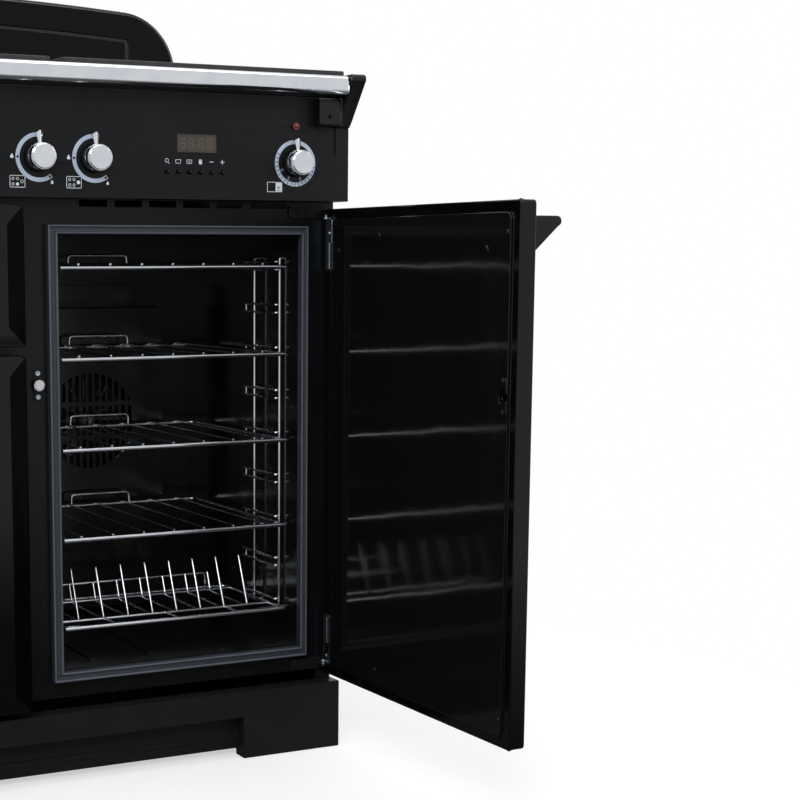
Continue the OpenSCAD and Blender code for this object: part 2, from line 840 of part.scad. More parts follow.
// ---- doors: drawn shut, free edge towards the middle ----
module open_door() {
  translate([hinge_x, hinge_y, 0]) rotate([0, 0, door_open]) {
    translate([-hinge_x, -hinge_y, 0]) children();
  }
}

// sloping border between the rim and the raised panel
module raised_panel(x0, x1, z0, z1) {
  y = door_in - door_t;
  b = door_bevel;
  h = door_raise;
  intersection() {
    side_plate(x0, x1 - x0) polygon([[y, z0], [y, z1], [y - h, z1 - b], [y - h, z0 + b]]);
    flat_plate(z0, z1 - z0) polygon([[x0, y], [x0 + b, y - h], [x1 - b, y - h], [x1, y]]);
  }
}

module door_skin(x0, x1, z0, z1) {
  y0 = door_in - door_t;
  difference() {
    union() {
      front_plate(y0, door_t) round_rect(x0, z0, x1, z1, 5);
      raised_panel(x0 + 3, x1 - 3, z0 + 3, z1 - 3);
    }
    front_plate(y0 + 1.6, door_t) round_rect(x0 + 1.6, z0 + 1.6, x1 - 1.6, z1 - 1.6, 3.6);
    translate([0, 1.7, 0]) raised_panel(x0 + 4, x1 - 4, z0 + 4, z1 - 4);
  }
  // folded return round the inner face
  front_plate(door_in - 1.2, 1.2) ring_rect(x0 + 1.5, z0 + 1.5, x1 - 1.5, z1 - 1.5, fold_w - 1.5, 4);
}

module door_liner(x0, x1, z0, z1, px0, px1) {
  pz0 = z0 + fold_w + 1;
  pz1 = z1 - fold_w - 1;
  // pan inside the return, with a raised pad that meets the gasket
  front_plate(door_in - 3, 1.7) round_rect(x0 + 8, z0 + 8, x1 - 8, z1 - 8, 3);
  difference() {
    front_plate(door_in - 1.3, 4.3) round_rect(px0, pz0, px1, pz1, 9);
    front_plate(door_in - 1.4, 3.1) round_rect(px0 + 1.3, pz0 + 1.3, px1 - 1.3, pz1 - 1.3, 8);
  }
}

module screw_back(x, z, y, d) {
  difference() {
    bar_y(y, y + 1.5, x, z, d);
    span([x - d * 0.3, y + 0.9, z - 0.5], [x + d * 0.3, y + 2, z + 0.5]);
  }
}

// door handle: chrome bar between two black wedge brackets on the front
module door_handle(x0, x1, z) {
  y = door_in - door_t - door_raise;
  difference() {
    side_plate(x0 + 16, x1 - x0 - 32) rail_profile(y - 42, z - 13, 22, 13);
    side_plate(x0 + 20, x1 - x0 - 40) rail_profile(y - 42, z - 13, 18, 9);
  }
  for (x = [x0, x1 - 17]) {
    side_plate(x, 17) wedge(y, 56, z, 57);
    // foot fills in over the sloping border
    side_plate(x, 17) polygon([[y, z - 7], [y + 1.9, z], [y - 1, z], [y - 1, z - 7]]);
  }
}

module right_door_outer_skin() place() open_door() color(enamel) {
  door_skin(1.5, 441, door_z0, door_z1);
}

module right_door_inner_liner() place() open_door() color(enamel) {
  difference() {
    door_liner(1.5, 441, door_z0, door_z1, 16, 420);
    for (c = [[24.5, 517]]) {
      bar_y(door_in - 5, door_in + 5, c[0], c[1], 16);
    }
  }
  // handle screws and the corner screws of the pan
  for (p = [[63, 685], [403, 685]]) {
    screw_back(p[0], p[1], door_in + 3, 9);
  }
  for (p = [[22, 704], [22, 136], [300, 704], [300, 136]]) {
    screw_back(p[0], p[1], door_in + 3, 6.5);
  }
  // keeper plate and its screws round the catch hole
  front_plate(door_in + 3, 1.2) difference() {
    round_rect(17.5, 495, 31.5, 539, 4);
    translate([24.5, 517]) circle(d = 16);
  }
  for (z = [499, 535]) {
    screw_back(24.5, z, door_in + 4.2, 6);
  }
}

module right_door_handle() place() open_door() color(chrome) {
  door_handle(36, 406, door_z1 - 17);
}

module right_door_hinge_plates() place() open_door() color(zinc) {
  hinge_plate(659, 728, 731, -1);
  hinge_plate(118, 186, 118, 1);
}

// plate on the door's inner face with an ear round the hinge pin
module hinge_plate(z0, z1, ear_z, dir) {
  y = door_in;
  difference() {
    union() {
      front_plate(y, 2) round_rect(421.5, z0, 438, z1, 3);
      // folded stiffener, cut away near the ear
      span([421.5, y + 2, dir < 0 ? z0 + 2 : z0 + 30], [423.5, y + 6, dir < 0 ? z1 - 32 : z1 - 2]);
      ear = dir < 0 ? 727.5 : 119.5;
      span([hinge_x - 4.4, y, ear], [hinge_x + 4.4, hinge_y, ear + 2.5]);
      bar_z(ear, ear + 2.5, hinge_x, hinge_y, 8.8);
      for (z = [z0 + 10, z0 + 50]) {
        bar_y(y + 2, y + 3.2, 430, z, 5.5);
      }
    }
    ear = dir < 0 ? 727.5 : 119.5;
    bar_z(ear - 3, ear + 6, hinge_x, hinge_y, 4 + 2 * run);
  }
}

module left_oven_door_skin() place() color(enamel) {
  scale([-1, 1, 1]) door_skin(3, 441, 104, lo_door_z1);
}

module left_oven_door_liner() place() color(enamel) {
  scale([-1, 1, 1]) {
    difference() {
      door_liner(3, 441, 104, lo_door_z1, 16, 420);
      bar_y(door_in - 5, door_in + 5, 24.5, 331, 16);
    }
    for (z = [[476, 541.5], [118, 186]]) {
      front_plate(door_in, 2) round_rect(421.5, z[0], 438, z[1], 3);
    }
    for (ear = [540.5, 119.5]) {
      difference() {
        union() {
          span([hinge_x - 4.4, door_in, ear], [hinge_x + 4.4, hinge_y, ear + 2.5]);
          bar_z(ear, ear + 2.5, hinge_x, hinge_y, 8.8);
        }
        bar_z(ear - 3, ear + 6, hinge_x, hinge_y, 4 + 2 * run);
      }
    }
  }
}

module left_oven_door_handle() place() color(chrome) {
  scale([-1, 1, 1]) door_handle(58, 386, lo_door_z1 - 17);
}

module grill_door_skin() place() color(enamel) {
  difference() {
    scale([-1, 1, 1]) door_skin(3, 441, gr_door_z0, door_z1);
    arm_slots();
  }
}

module grill_door_liner() place() color(enamel) {
  difference() {
    scale([-1, 1, 1]) door_liner(3, 441, gr_door_z0, door_z1, 40, 408);
    arm_slots();
  }
  // hinge pins carried by cheeks either side of each arm
  for (x = [-426, -20]) {
    difference() {
      union() {
        for (e = [x - 5, x + 3]) {
          span([e, door_in - door_t + 1.7, gr_pivot_z - 5], [e + 2, door_in - 2, gr_pivot_z + 6]);
        }
      }
    }
    bar_x(x - 5, x + 5, gr_pivot_y, gr_pivot_z, 4);
  }
}

module arm_slots() {
  for (x = [-426, -20]) {
    span([x - 2.6, door_in - door_t + 3, gr_door_z0 - 2], [x + 2.6, door_in + 5, gr_pivot_z + 9]);
  }
}

module grill_door_handle() place() color(chrome) {
  scale([-1, 1, 1]) door_handle(58, 386, door_z1 - 17);
}

// ---- controls ----
module knob(x) {
  y = panel_y;
  color(chrome) translate([x, y - 0.4, knob_z]) rotate([90, 0, 0]) {
    // skirt, then the fluted cap
    difference() {
      union() {
        rotate_extrude() polygon([[0, 0], [18, 0], [18, 2], [16.5, 8], [16.5, 9], [0, 9]]);
        cylinder(h = 22, d = cap_d - 1);
        translate([0, 0, 22]) cylinder(h = 1.8, d = cap_d - 4);
        translate([0, 0, -28]) cylinder(h = 29, d = spindle_d);
      }
      for (i = [0:5]) {
        rotate([0, 0, i * 60]) translate([cap_d / 2 - 3.4, -3, 11.5]) cube([5, 6, 6]);
      }
      // flat on the spindle's end
      translate([spindle_d / 2 - 1.5, -5, -29]) cube([4, 10, 10]);
    }
    // pointer with a ridge along it
    intersection() {
      linear_extrude(height = 12) polygon([[-2.2, 14.5], [2.2, 14.5], [4.4, 29.4], [0, 31.8], [-4.4, 29.4]]);
      translate([0, 34, 0]) rotate([90, 0, 0]) {
        linear_extrude(height = 22) polygon([[-5, 0], [5, 0], [5, 6.8], [0, 10.4], [-5, 6.8]]);
      }
    }
  }
}

module left_oven_knob() place() knob(knobs_x[0]);
module grill_knob() place() knob(knobs_x[1]);
module hob_knob_1() place() knob(knobs_x[2]);
module hob_knob_2() place() knob(knobs_x[3]);
module hob_knob_3() place() knob(knobs_x[4]);
module hob_knob_4() place() knob(knobs_x[5]);
module hob_knob_5() place() knob(knobs_x[6]);
module right_oven_knob() place() knob(knobs_x[7]);

module timer_button(i) {
  x = button_x[i];
  color(cast) {
    bar_y(-44.4, -30, x, 784, 4);
    translate([x, -44.4, 784]) sphere(d = 4);
    bar_y(-32.6, -31, x, 784, 6.5);
  }
}

module timer_button_1() place() timer_button(0);
module timer_button_2() place() timer_button(1);
module timer_button_3() place() timer_button(2);
module timer_button_4() place() timer_button(3);
module timer_button_5() place() timer_button(4);
module timer_button_6() place() timer_button(5);

// ---- pan supports ----
module pan_support(x0, x1, marks) {
  z = hob_z;
  y0 = panel_y + 3;
  y1 = 514;
  w = 10;
  flat_plate(z, 13.5) ring_rect(x0, y0, x1, y1, w, 6);
  for (b = marks) {
    reach_x = [x0 + 4 - b[0], x1 - 4 - b[0]];
    gap = b[2] > 50 ? 26 : 16;
    // fingers run in from the frame and stop short of the burner's middle
    for (e = reach_x) {
      finger(b, e, 0, gap);
    }
    ylow = b[1] < 200 ? y0 + 4 - b[1] : (b[2] > 50 ? y0 + 4 - b[1] : 257 - b[1]);
    yhigh = b[1] > 300 ? y1 - 4 - b[1] : (b[2] > 50 ? y1 - 4 - b[1] : 257 - b[1]);
    finger(b, ylow, 1, gap);
    finger(b, yhigh, 1, gap);
  }
  if (len(marks) > 1) {
    flat_plate(z + 2, 11.5) translate([x0 + 2, 253]) square([x1 - x0 - 4, 8]);
  }
}

// one upright finger from the frame at distance e over burner b, up to the gap round its middle
module finger(b, e, along_y, gap) {
  z = hob_z;
  s = e < 0 ? -1 : 1;
  over = b[2] + 6;
  translate([b[0], b[1], 0]) rotate([90, 0, along_y * 90]) translate([0, 0, -4]) {
    linear_extrude(height = 8) polygon([[e, z + 4], [e, z + 13.5], [s * (gap + 46), z + 25],
      [s * gap, z + 26], [s * gap, z + 19.5], [s * over, z + 19.3], [s * (over + 8), z + 8]]);
  }
}

module pan_support_left() place() color(cast) {
  pan_support(support_x[0][0], support_x[0][1], [burners[0], burners[1]]);
}

module pan_support_middle() place() color(cast) {
  pan_support(support_x[1][0], support_x[1][1], [burners[2], burners[3]]);
}

module pan_support_right() place() color(cast) {
  pan_support(support_x[2][0], support_x[2][1], [burners[4]]);
}

side_panels();
back_panel();
base_tray();
levelling_feet();
rear_rollers();
front_frame();
plinth();
hob_tray();
rear_upstand();
control_panel();
handrail_bar();
handrail_brackets();
right_oven_liner();
left_oven_and_grill_liners();
oven_door_gaskets();
right_oven_side_racks();
fan_baffle();
convection_fan();
fan_motor_and_ring_element();
left_oven_racks_and_shelves();
grill_element();
grill_pan();
burner_bases();
burner_caps();
gas_rail_and_taps();
clock_display();
indicator_lamp();
frame_hinge_brackets_and_catches();
right_door_outer_skin();
right_door_inner_liner();
right_door_handle();
right_door_hinge_plates();
left_oven_door_skin();
left_oven_door_liner();
left_oven_door_handle();
grill_door_skin();
grill_door_liner();
grill_door_handle();
left_oven_knob();
grill_knob();
hob_knob_1();
hob_knob_2();
hob_knob_3();
hob_knob_4();
hob_knob_5();
right_oven_knob();
timer_button_1();
timer_button_2();
timer_button_3();
timer_button_4();
timer_button_5();
timer_button_6();
oven_shelf_1();
oven_shelf_2();
oven_shelf_3();
oven_shelf_4();
plate_warming_rack();
pan_support_left();
pan_support_middle();
pan_support_right();
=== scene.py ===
"""Range cooker with double oven: camera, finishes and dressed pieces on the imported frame."""
import json
import math

import bmesh
import bpy
from mathutils import Matrix, Vector


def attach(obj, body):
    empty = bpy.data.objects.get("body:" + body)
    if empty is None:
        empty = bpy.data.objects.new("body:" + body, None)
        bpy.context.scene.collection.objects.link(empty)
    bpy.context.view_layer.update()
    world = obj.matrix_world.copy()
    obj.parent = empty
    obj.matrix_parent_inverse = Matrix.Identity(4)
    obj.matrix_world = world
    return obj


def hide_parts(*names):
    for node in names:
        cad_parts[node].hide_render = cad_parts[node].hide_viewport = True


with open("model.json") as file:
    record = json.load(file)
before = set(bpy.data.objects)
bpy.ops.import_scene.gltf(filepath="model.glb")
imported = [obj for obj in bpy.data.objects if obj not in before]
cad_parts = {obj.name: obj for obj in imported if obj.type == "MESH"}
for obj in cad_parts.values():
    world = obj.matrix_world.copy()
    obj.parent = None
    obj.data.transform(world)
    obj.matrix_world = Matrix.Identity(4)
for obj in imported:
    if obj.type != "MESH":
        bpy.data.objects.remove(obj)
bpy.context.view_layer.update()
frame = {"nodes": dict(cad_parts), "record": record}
NODES = frame["nodes"]

# ---------------------------------------------------------------- frame and camera
# Sizes below are in millimetres from the cabinet's middle, front frame and floor.
# SHIFT is where the CAD frame has that point, in metres.
SHIFT = Vector((-0.0385, -0.0678, 0.0))
DOOR_OPEN_DEG = 91


def at(x, y, z):
    """A place in metres from millimetres."""
    return Vector((x, y, z)) * 0.001 + SHIFT


PIN_X, PIN_Y = 432, -13
HINGE = at(PIN_X, PIN_Y, 0)
OPEN = (
    Matrix.Translation(HINGE)
    @ Matrix.Rotation(math.radians(DOOR_OPEN_DEG), 4, "Z")
    @ Matrix.Translation(-HINGE)
)

# the photograph is square, and so is the render
PICTURE_PX = 800
FOCAL_PX = 1708.9
# the optical centre, in pixels from the picture's left and upper edges
CENTRE_PX = (227.2, 501.9)
SENSOR_MM = 36

scene = bpy.context.scene
cam_data = bpy.data.cameras.new("camera")
cam = bpy.data.objects.new("camera", cam_data)
scene.collection.objects.link(cam)
scene.camera = cam
cam.location = at(-689.5, -2055.4, 675.2)
cam.rotation_euler = (math.radians(90 - 8.1), math.radians(0.1), math.radians(-25.5))
cam_data.sensor_width = SENSOR_MM
cam_data.lens = FOCAL_PX / PICTURE_PX * SENSOR_MM
cam_data.shift_x = (PICTURE_PX / 2 - CENTRE_PX[0]) / PICTURE_PX
cam_data.shift_y = (CENTRE_PX[1] - PICTURE_PX / 2) / PICTURE_PX
cam_data.clip_end = 50
scene.view_settings.view_transform = "Standard"


# ---------------------------------------------------------------- shader helper
class Val:
    """A shader value that can be added, scaled and ramped like a number."""

    def __init__(self, tree, socket):
        self.tree = tree
        self.socket = socket

    def _math(self, kind, other):
        node = self.tree.nodes.new("ShaderNodeMath")
        node.operation = kind
        for i, v in enumerate((self, other)):
            if isinstance(v, Val):
                self.tree.links.new(v.socket, node.inputs[i])
            else:
                node.inputs[i].default_value = v
        return Val(self.tree, node.outputs[0])

    def __add__(self, o):
        return self._math("ADD", o)

    def __mul__(self, o):
        return self._math("MULTIPLY", o)

    def ramp(self, lo, hi, a=0.0, b=1.0):
        """a at lo and below, b at hi and above."""
        node = self.tree.nodes.new("ShaderNodeMapRange")
        self.tree.links.new(self.socket, node.inputs["Value"])
        for key, v in (("From Min", lo), ("From Max", hi), ("To Min", a), ("To Max", b)):
            node.inputs[key].default_value = v
        return Val(self.tree, node.outputs[0])

    def blend(self, a, b):
        """Colour a where this is 0, colour b where it is 1."""
        node = self.tree.nodes.new("ShaderNodeMix")
        node.data_type = "RGBA"
        self.tree.links.new(self.socket, node.inputs["Factor"])
        for key, v in ((6, a), (7, b)):
            node.inputs[key].default_value = (*v, 1.0)
        return Val(self.tree, node.outputs[2])


class Finish:
    """One procedural material on a Principled shader."""

    def __init__(self, name, **constants):
        self.mat = bpy.data.materials.new(name)
        self.mat.use_nodes = True
        self.tree = self.mat.node_tree
        self.shader = self.tree.nodes["Principled BSDF"]
        self.coord = self.tree.nodes.new("ShaderNodeTexCoord").outputs["Object"]
        for key, v in constants.items():
            self.shader.inputs[key.replace("_", " ")].default_value = v

    def noise(self, scale, detail, stretch=None):
        vec = self.coord
        if stretch:
            mapping = self.tree.nodes.new("ShaderNodeMapping")
            mapping.inputs["Scale"].default_value = stretch
            self.tree.links.new(vec, mapping.inputs["Vector"])
            vec = mapping.outputs[0]
        node = self.tree.nodes.new("ShaderNodeTexNoise")
        node.inputs["Scale"].default_value = scale
        node.inputs["Detail"].default_value = detail
        node.inputs["Roughness"].default_value = 0.55
        self.tree.links.new(vec, node.inputs["Vector"])
        return Val(self.tree, node.outputs[0])

    def cells(self, scale, out="Distance"):
        node = self.tree.nodes.new("ShaderNodeTexVoronoi")
        node.inputs["Scale"].default_value = scale
        self.tree.links.new(self.coord, node.inputs["Vector"])
        return Val(self.tree, node.outputs[out])

    def axis(self, index):
        node = self.tree.nodes.new("ShaderNodeSeparateXYZ")
        self.tree.links.new(self.coord, node.inputs[0])
        return Val(self.tree, node.outputs[index])

    def set(self, key, value):
        self.tree.links.new(value.socket, self.shader.inputs[key])

    def bump(self, value, strength, distance):
        node = self.tree.nodes.new("ShaderNodeBump")
        node.inputs["Strength"].default_value = strength
        node.inputs["Distance"].default_value = distance
        self.tree.links.new(value.socket, node.inputs["Height"])
        self.tree.links.new(node.outputs[0], self.shader.inputs["Normal"])
        return self


def rgb(r, g, b):
    """Linear colour from an 8-bit one."""
    parts = [c / 255 for c in (r, g, b)]
    return tuple(c / 12.92 if c <= 0.04045 else ((c + 0.055) / 1.055) ** 2.4 for c in parts)


def satin_paint(name="satin_black_paint", a=(19, 20, 22), b=(23, 24, 26), rough=0.26, mirror=0.16):
    m = Finish(name, IOR=1.45, Specular_IOR_Level=mirror)
    fine = m.noise(900, 2)
    cloud = m.noise(9, 3)
    m.set("Base Color", cloud.ramp(0.35, 0.7).blend(rgb(*a), rgb(*b)))
    m.set("Roughness", (fine * 0.10 + cloud * 0.08).ramp(0, 0.18, rough, rough + 0.14))
    return m.bump(fine + m.noise(260, 2) * 0.6, 0.10, 0.0003)


def gloss_paint(name, rough=0.09, wave=0.0, a=(5, 6, 6), b=(10, 11, 12), mirror=0.25):
    m = Finish(name, IOR=1.5, Specular_IOR_Level=mirror)
    fine = m.noise(500, 2)
    slow = m.noise(14, 2)
    specks = m.cells(420).ramp(0.02, 0.10, 1, 0)
    m.set("Base Color", specks.blend(rgb(*a), rgb(*b)))
    m.set("Roughness", (fine * 0.04 + m.noise(5, 3) * 0.06).ramp(0.02, 0.08, rough, rough + 0.07))
    return m.bump(fine * 0.05 + slow * wave, 0.35, 0.0008)


def cavity_enamel():
    m = Finish("cavity_enamel", IOR=1.5, Specular_IOR_Level=0.45)
    fine = m.noise(480, 2)
    slow = m.noise(11, 2)
    specks = m.cells(300).ramp(0.03, 0.14, 1, 0)
    m.set("Base Color", specks.blend(rgb(14, 14, 14), rgb(40, 41, 44)))
    m.set("Roughness", (fine * 0.06 + slow * 0.06).ramp(0.02, 0.1, 0.10, 0.20))
    return m.bump(fine * 0.08 + slow * 1.0, 0.4, 0.0009)


def chrome(name="chrome", rough=0.05, shade=(226, 228, 232)):
    m = Finish(name, Metallic=1.0)
    smudge = m.noise(35, 4)
    dull = (shade[0] - 14, shade[1] - 12, shade[2] - 8)
    m.set("Base Color", smudge.ramp(0.3, 0.7).blend(rgb(*shade), rgb(*dull)))
    m.set("Roughness", smudge.ramp(0.3, 0.75, rough, rough + 0.08))
    return m.bump(m.noise(240, 2), 0.03, 0.0002)


def zinc():
    m = Finish("zinc_plate", Metallic=1.0)
    grain = m.cells(260, out="Color")
    stain = m.noise(60, 4)
    m.set("Base Color", stain.ramp(0.35, 0.7).blend(rgb(196, 206, 216), rgb(160, 172, 186)))
    m.set("Roughness", (grain * 0.2 + stain * 0.25).ramp(0.1, 0.35, 0.22, 0.42))
    return m.bump(m.noise(500, 2), 0.08, 0.0002)


def plain_steel(name, a, b, rough):
    m = Finish(name, Metallic=1.0)
    brush = m.noise(120, 3, stretch=(1, 1, 14))
    heat = m.noise(28, 3)
    m.set("Base Color", heat.ramp(0.35, 0.7).blend(rgb(*a), rgb(*b)))
    m.set("Roughness", brush.ramp(0.3, 0.7, rough, rough + 0.18))
    return m.bump(brush, 0.08, 0.0003)


def cast_iron():
    m = Finish("cast_iron", IOR=1.5, Specular_IOR_Level=0.35)
    grit = m.noise(700, 3)
    lumps = m.noise(140, 3)
    m.set("Base Color", lumps.ramp(0.3, 0.7).blend(rgb(38, 38, 40), rgb(52, 52, 54)))
    m.set("Roughness", grit.ramp(0.3, 0.7, 0.50, 0.68))
    return m.bump(grit + lumps * 0.8, 0.30, 0.0005)


def rubber():
    m = Finish("grey_rubber", IOR=1.45)
    grit = m.noise(600, 3)
    # the lips stand 9.5 to 12 mm in front of the frame
    out_front = m.axis(1).ramp(SHIFT.y - 0.0120, SHIFT.y - 0.0095, 1, 0)
    # painted highlight: the lips that stand furthest forward are lighter, for the sheen they catch
    lip_highlight = out_front * m.noise(45, 3).ramp(0.3, 0.7, 0.75, 1)
    m.set("Base Color", lip_highlight.blend(rgb(50, 54, 62), rgb(92, 98, 108)))
    m.set("Roughness", grit.ramp(0.3, 0.7, 0.36, 0.52))
    return m.bump(grit, 0.14, 0.0003)


def plastic(name, a, b, rough):
    m = Finish(name, IOR=1.46, Specular_IOR_Level=0.30)
    grit = m.noise(500, 3)
    m.set("Base Color", m.noise(20, 2).ramp(0.35, 0.65).blend(rgb(*a), rgb(*b)))
    m.set("Roughness", grit.ramp(0.3, 0.7, rough, rough + 0.12))
    return m.bump(grit, 0.10, 0.0002)


def printed(name, a, b):
    m = Finish(name, IOR=1.45)
    ink = m.noise(900, 2)
    m.set("Base Color", ink.ramp(0.35, 0.7).blend(rgb(*a), rgb(*b)))
    m.set("Roughness", ink.ramp(0.3, 0.7, 0.38, 0.5))
    return m.bump(ink, 0.05, 0.0001)


def lamp_red():
    m = Finish("red_lamp", IOR=1.5, Coat_Weight=0.5)
    swirl = m.noise(300, 2)
    m.set("Base Color", swirl.ramp(0.3, 0.7).blend(rgb(86, 16, 20), rgb(120, 24, 28)))
    m.set("Roughness", swirl.ramp(0.3, 0.7, 0.12, 0.25))
    return m.bump(m.cells(900), 0.2, 0.0003)


M = {
    "paint": satin_paint(),
    "frame": satin_paint("frame_paint", (12, 13, 14), (16, 17, 18), 0.20, 0.22),
    "plinth": satin_paint("plinth_paint", (26, 27, 27), (30, 31, 31), 0.30),
    "satin_black": satin_paint("satin_black_casting", (22, 22, 24), (27, 27, 29), 0.36),
    "gloss": gloss_paint("gloss_enamel", 0.07, 0.0),
    "liner": gloss_paint("door_liner_enamel", 0.04, 1.2, (15, 15, 15), (20, 20, 21)),
    "hob": gloss_paint("hob_enamel", 0.16, 0.4, (19, 19, 20), (26, 26, 28)),
    "upstand": gloss_paint("upstand_enamel", 0.16, 0.0, (14, 15, 16), (20, 21, 22), 0.40),
    # painted shade: a darker, less shiny copy of the gloss enamel, for the door borders that lie in the dark
    "gloss_painted_shade": gloss_paint("gloss_enamel_painted_shade", 0.09, 0.0, (4, 4, 4), (7, 7, 8), 0.04),
    "panel_in": gloss_paint("upstand_panel_enamel", 0.10, 0.0, (7, 8, 8), (11, 12, 12), 0.12),
    "cavity": cavity_enamel(),
    "chrome": chrome(),
    "wire": chrome("chrome_wire", 0.10, (214, 216, 220)),
    "zinc": zinc(),
    "steel": plain_steel("fan_steel", (168, 170, 174), (138, 138, 142), 0.22),
    "sheath": plain_steel("element_steel", (96, 90, 84), (66, 62, 60), 0.35),
    "alu": plain_steel("burner_aluminium", (186, 187, 190), (160, 161, 166), 0.32),
    "iron": cast_iron(),
    "cap": plastic("cap_enamel", (30, 30, 31), (38, 38, 40), 0.45),
    "rubber": rubber(),
    "black": plastic("black_plastic", (10, 10, 12), (15, 15, 17), 0.22),
    "button": plastic("timer_button", (4, 4, 5), (8, 8, 9), 0.10),
    "pearl": plastic("nylon_roller", (200, 204, 208), (216, 219, 222), 0.3),
    "glossy": plastic("display_window", (62, 59, 54), (72, 68, 62), 0.12),
    "digit": printed("display_digits", (84, 70, 64), (92, 78, 70)),
    "grey": printed("dial_bars", (96, 98, 102), (118, 121, 126)),
    "silver": plastic("button_plastic", (190, 190, 194), (214, 214, 218), 0.14),
    "white": printed("dial_print", (170, 184, 204), (186, 199, 216)),
    "bright": printed("icon_print", (206, 212, 220), (222, 227, 233)),
    # dark ink for the printed dots and ticks, and painted shade on the fan's disc
    "dark": plastic("dark_ink_and_painted_shade", (8, 8, 8), (13, 13, 13), 0.6),
    "lamp": lamp_red(),
}
SLOT_MATS = {
    "satin_black_paint": "paint", "black_enamel": "cavity", "cap_enamel": "cap", "chrome": "chrome",
    "chrome_wire": "wire", "zinc_plate": "zinc", "fan_steel": "steel", "element_steel": "sheath",
    "burner_aluminium": "alu", "cast_iron": "iron", "grey_rubber": "rubber", "black_plastic": "black",
    "button_plastic": "silver", "display_plastic": "glossy", "red_lamp": "lamp",
}
NODE_SLOT = {s["node"]: s["material_slot"] for s in frame["record"]["subparts"]}
NODE_BODY = {n: b for b, ns in frame["record"]["behaviour"]["bodies"].items() for n in ns}


# ---------------------------------------------------------------- mesh helpers
def finish_mesh(bm, name, mat, body, replaces=(), smooth=35):
    """Turns a bmesh into a piece that rides on a body; edges over smooth degrees stay sharp."""
    bmesh.ops.recalc_face_normals(bm, faces=bm.faces)
    mesh = bpy.data.meshes.new(name)
    bm.to_mesh(mesh)
    bm.free()
    obj = bpy.data.objects.new(name, mesh)
    scene.collection.objects.link(obj)
    mats = mat if isinstance(mat, (list, tuple)) else [mat]
    mesh.materials.clear()
    for m in mats:
        mesh.materials.append(M[m].mat)
    mesh.shade_smooth()
    mesh.set_sharp_from_angle(angle=math.radians(smooth))
    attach(obj, body)
    if replaces:
        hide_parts(*replaces)
    return obj


def apply_modifiers(obj):
    """Bakes an object's modifiers into its mesh."""
    bpy.context.view_layer.update()
    deps = bpy.context.evaluated_depsgraph_get()
    old = obj.data
    obj.data = bpy.data.meshes.new_from_object(obj.evaluated_get(deps))
    obj.modifiers.clear()
    bpy.data.meshes.remove(old)


def mend_normals(mesh):
    """A corner whose normal leans far away from its face takes the face's own."""
    normals = [corner.vector.copy() for corner in mesh.corner_normals]
    for face in mesh.polygons:
        for k in face.loop_indices:
            if normals[k].dot(face.normal) < 0.5:
                normals[k] = face.normal.copy()
    mesh.normals_split_custom_set(normals)


# corners this close become one, and faces within FLAT of each other one face
MERGE = 2e-6
FLAT = math.radians(0.6)
# edges sharper than this are rounded
SHARP = math.radians(32)
# an edge gets the full bevel where the faces beside it are this many times as wide, and less elsewhere
FULL_ROOM = 2.4
# these have ring-shaped flats, which bevel cleanly once they are cut into convex faces
SPLIT_FIRST = (
    "right_door_outer_skin", "left_oven_door_skin", "grill_door_skin", "fan_baffle", "plinth",
    "pan_support_left", "pan_support_middle", "front_frame",
)


def reach(face, edge):
    """How far a face reaches from one of its edges, at right angles to it."""
    start = edge.verts[0].co
    run = (edge.verts[1].co - start).normalized()
    return max((v.co - start - run * (v.co - start).dot(run)).length for v in face.verts)


def soften(node, mat, width, segments, pick=None):
    """A copy of a CAD node with rounded edges, which stands for the node.

    With a list of materials, pick gives the index for a face's middle in millimetres.
    """
    bm = bmesh.new()
    bm.from_mesh(NODES[node].data)
    bmesh.ops.remove_doubles(bm, verts=bm.verts, dist=MERGE)
    bmesh.ops.dissolve_limit(
        bm, angle_limit=FLAT, verts=bm.verts, edges=bm.edges, use_dissolve_boundaries=False
    )
    weight = bm.edges.layers.float.new("bevel_weight_edge")
    for edge in bm.edges:
        if len(edge.link_faces) == 2 and edge.calc_face_angle() > SHARP:
            room = min(reach(face, edge) for face in edge.link_faces)
            edge[weight] = min(1.0, room / (FULL_ROOM * width * 0.001))
    if node in SPLIT_FIRST:
        bmesh.ops.connect_verts_concave(bm, faces=bm.faces)
    obj = finish_mesh(bm, node + "_dressed", mat, NODE_BODY[node], (node,))
    mod = obj.modifiers.new("edges", "BEVEL")
    mod.width = width * 0.001
    mod.segments = segments
    mod.limit_method = "WEIGHT"
    mod.use_clamp_overlap = False
    mod.miter_outer = "MITER_ARC"
    weigh = obj.modifiers.new("normals", "WEIGHTED_NORMAL")
    weigh.keep_sharp = True
    apply_modifiers(obj)
    mend_normals(obj.data)
    if pick:
        for face in obj.data.polygons:
            face.material_index = pick((face.center - SHIFT) * 1000)


BEND_STEPS = 5


def bend(points, radius):
    """A path with its corners rounded."""
    pts = [Vector(p) for p in points]
    out = [pts[0]]
    for a, b, c in zip(pts, pts[1:], pts[2:]):
        u, w = (a - b), (c - b)
        r = min(radius, u.length * 0.49, w.length * 0.49)
        u.normalize()
        w.normalize()
        start, end = b + u * r, b + w * r
        for i in range(BEND_STEPS + 1):
            t = i / BEND_STEPS
            out.append(start.lerp(b, t).lerp(b.lerp(end, t), t))
    out.append(pts[-1])
    return out


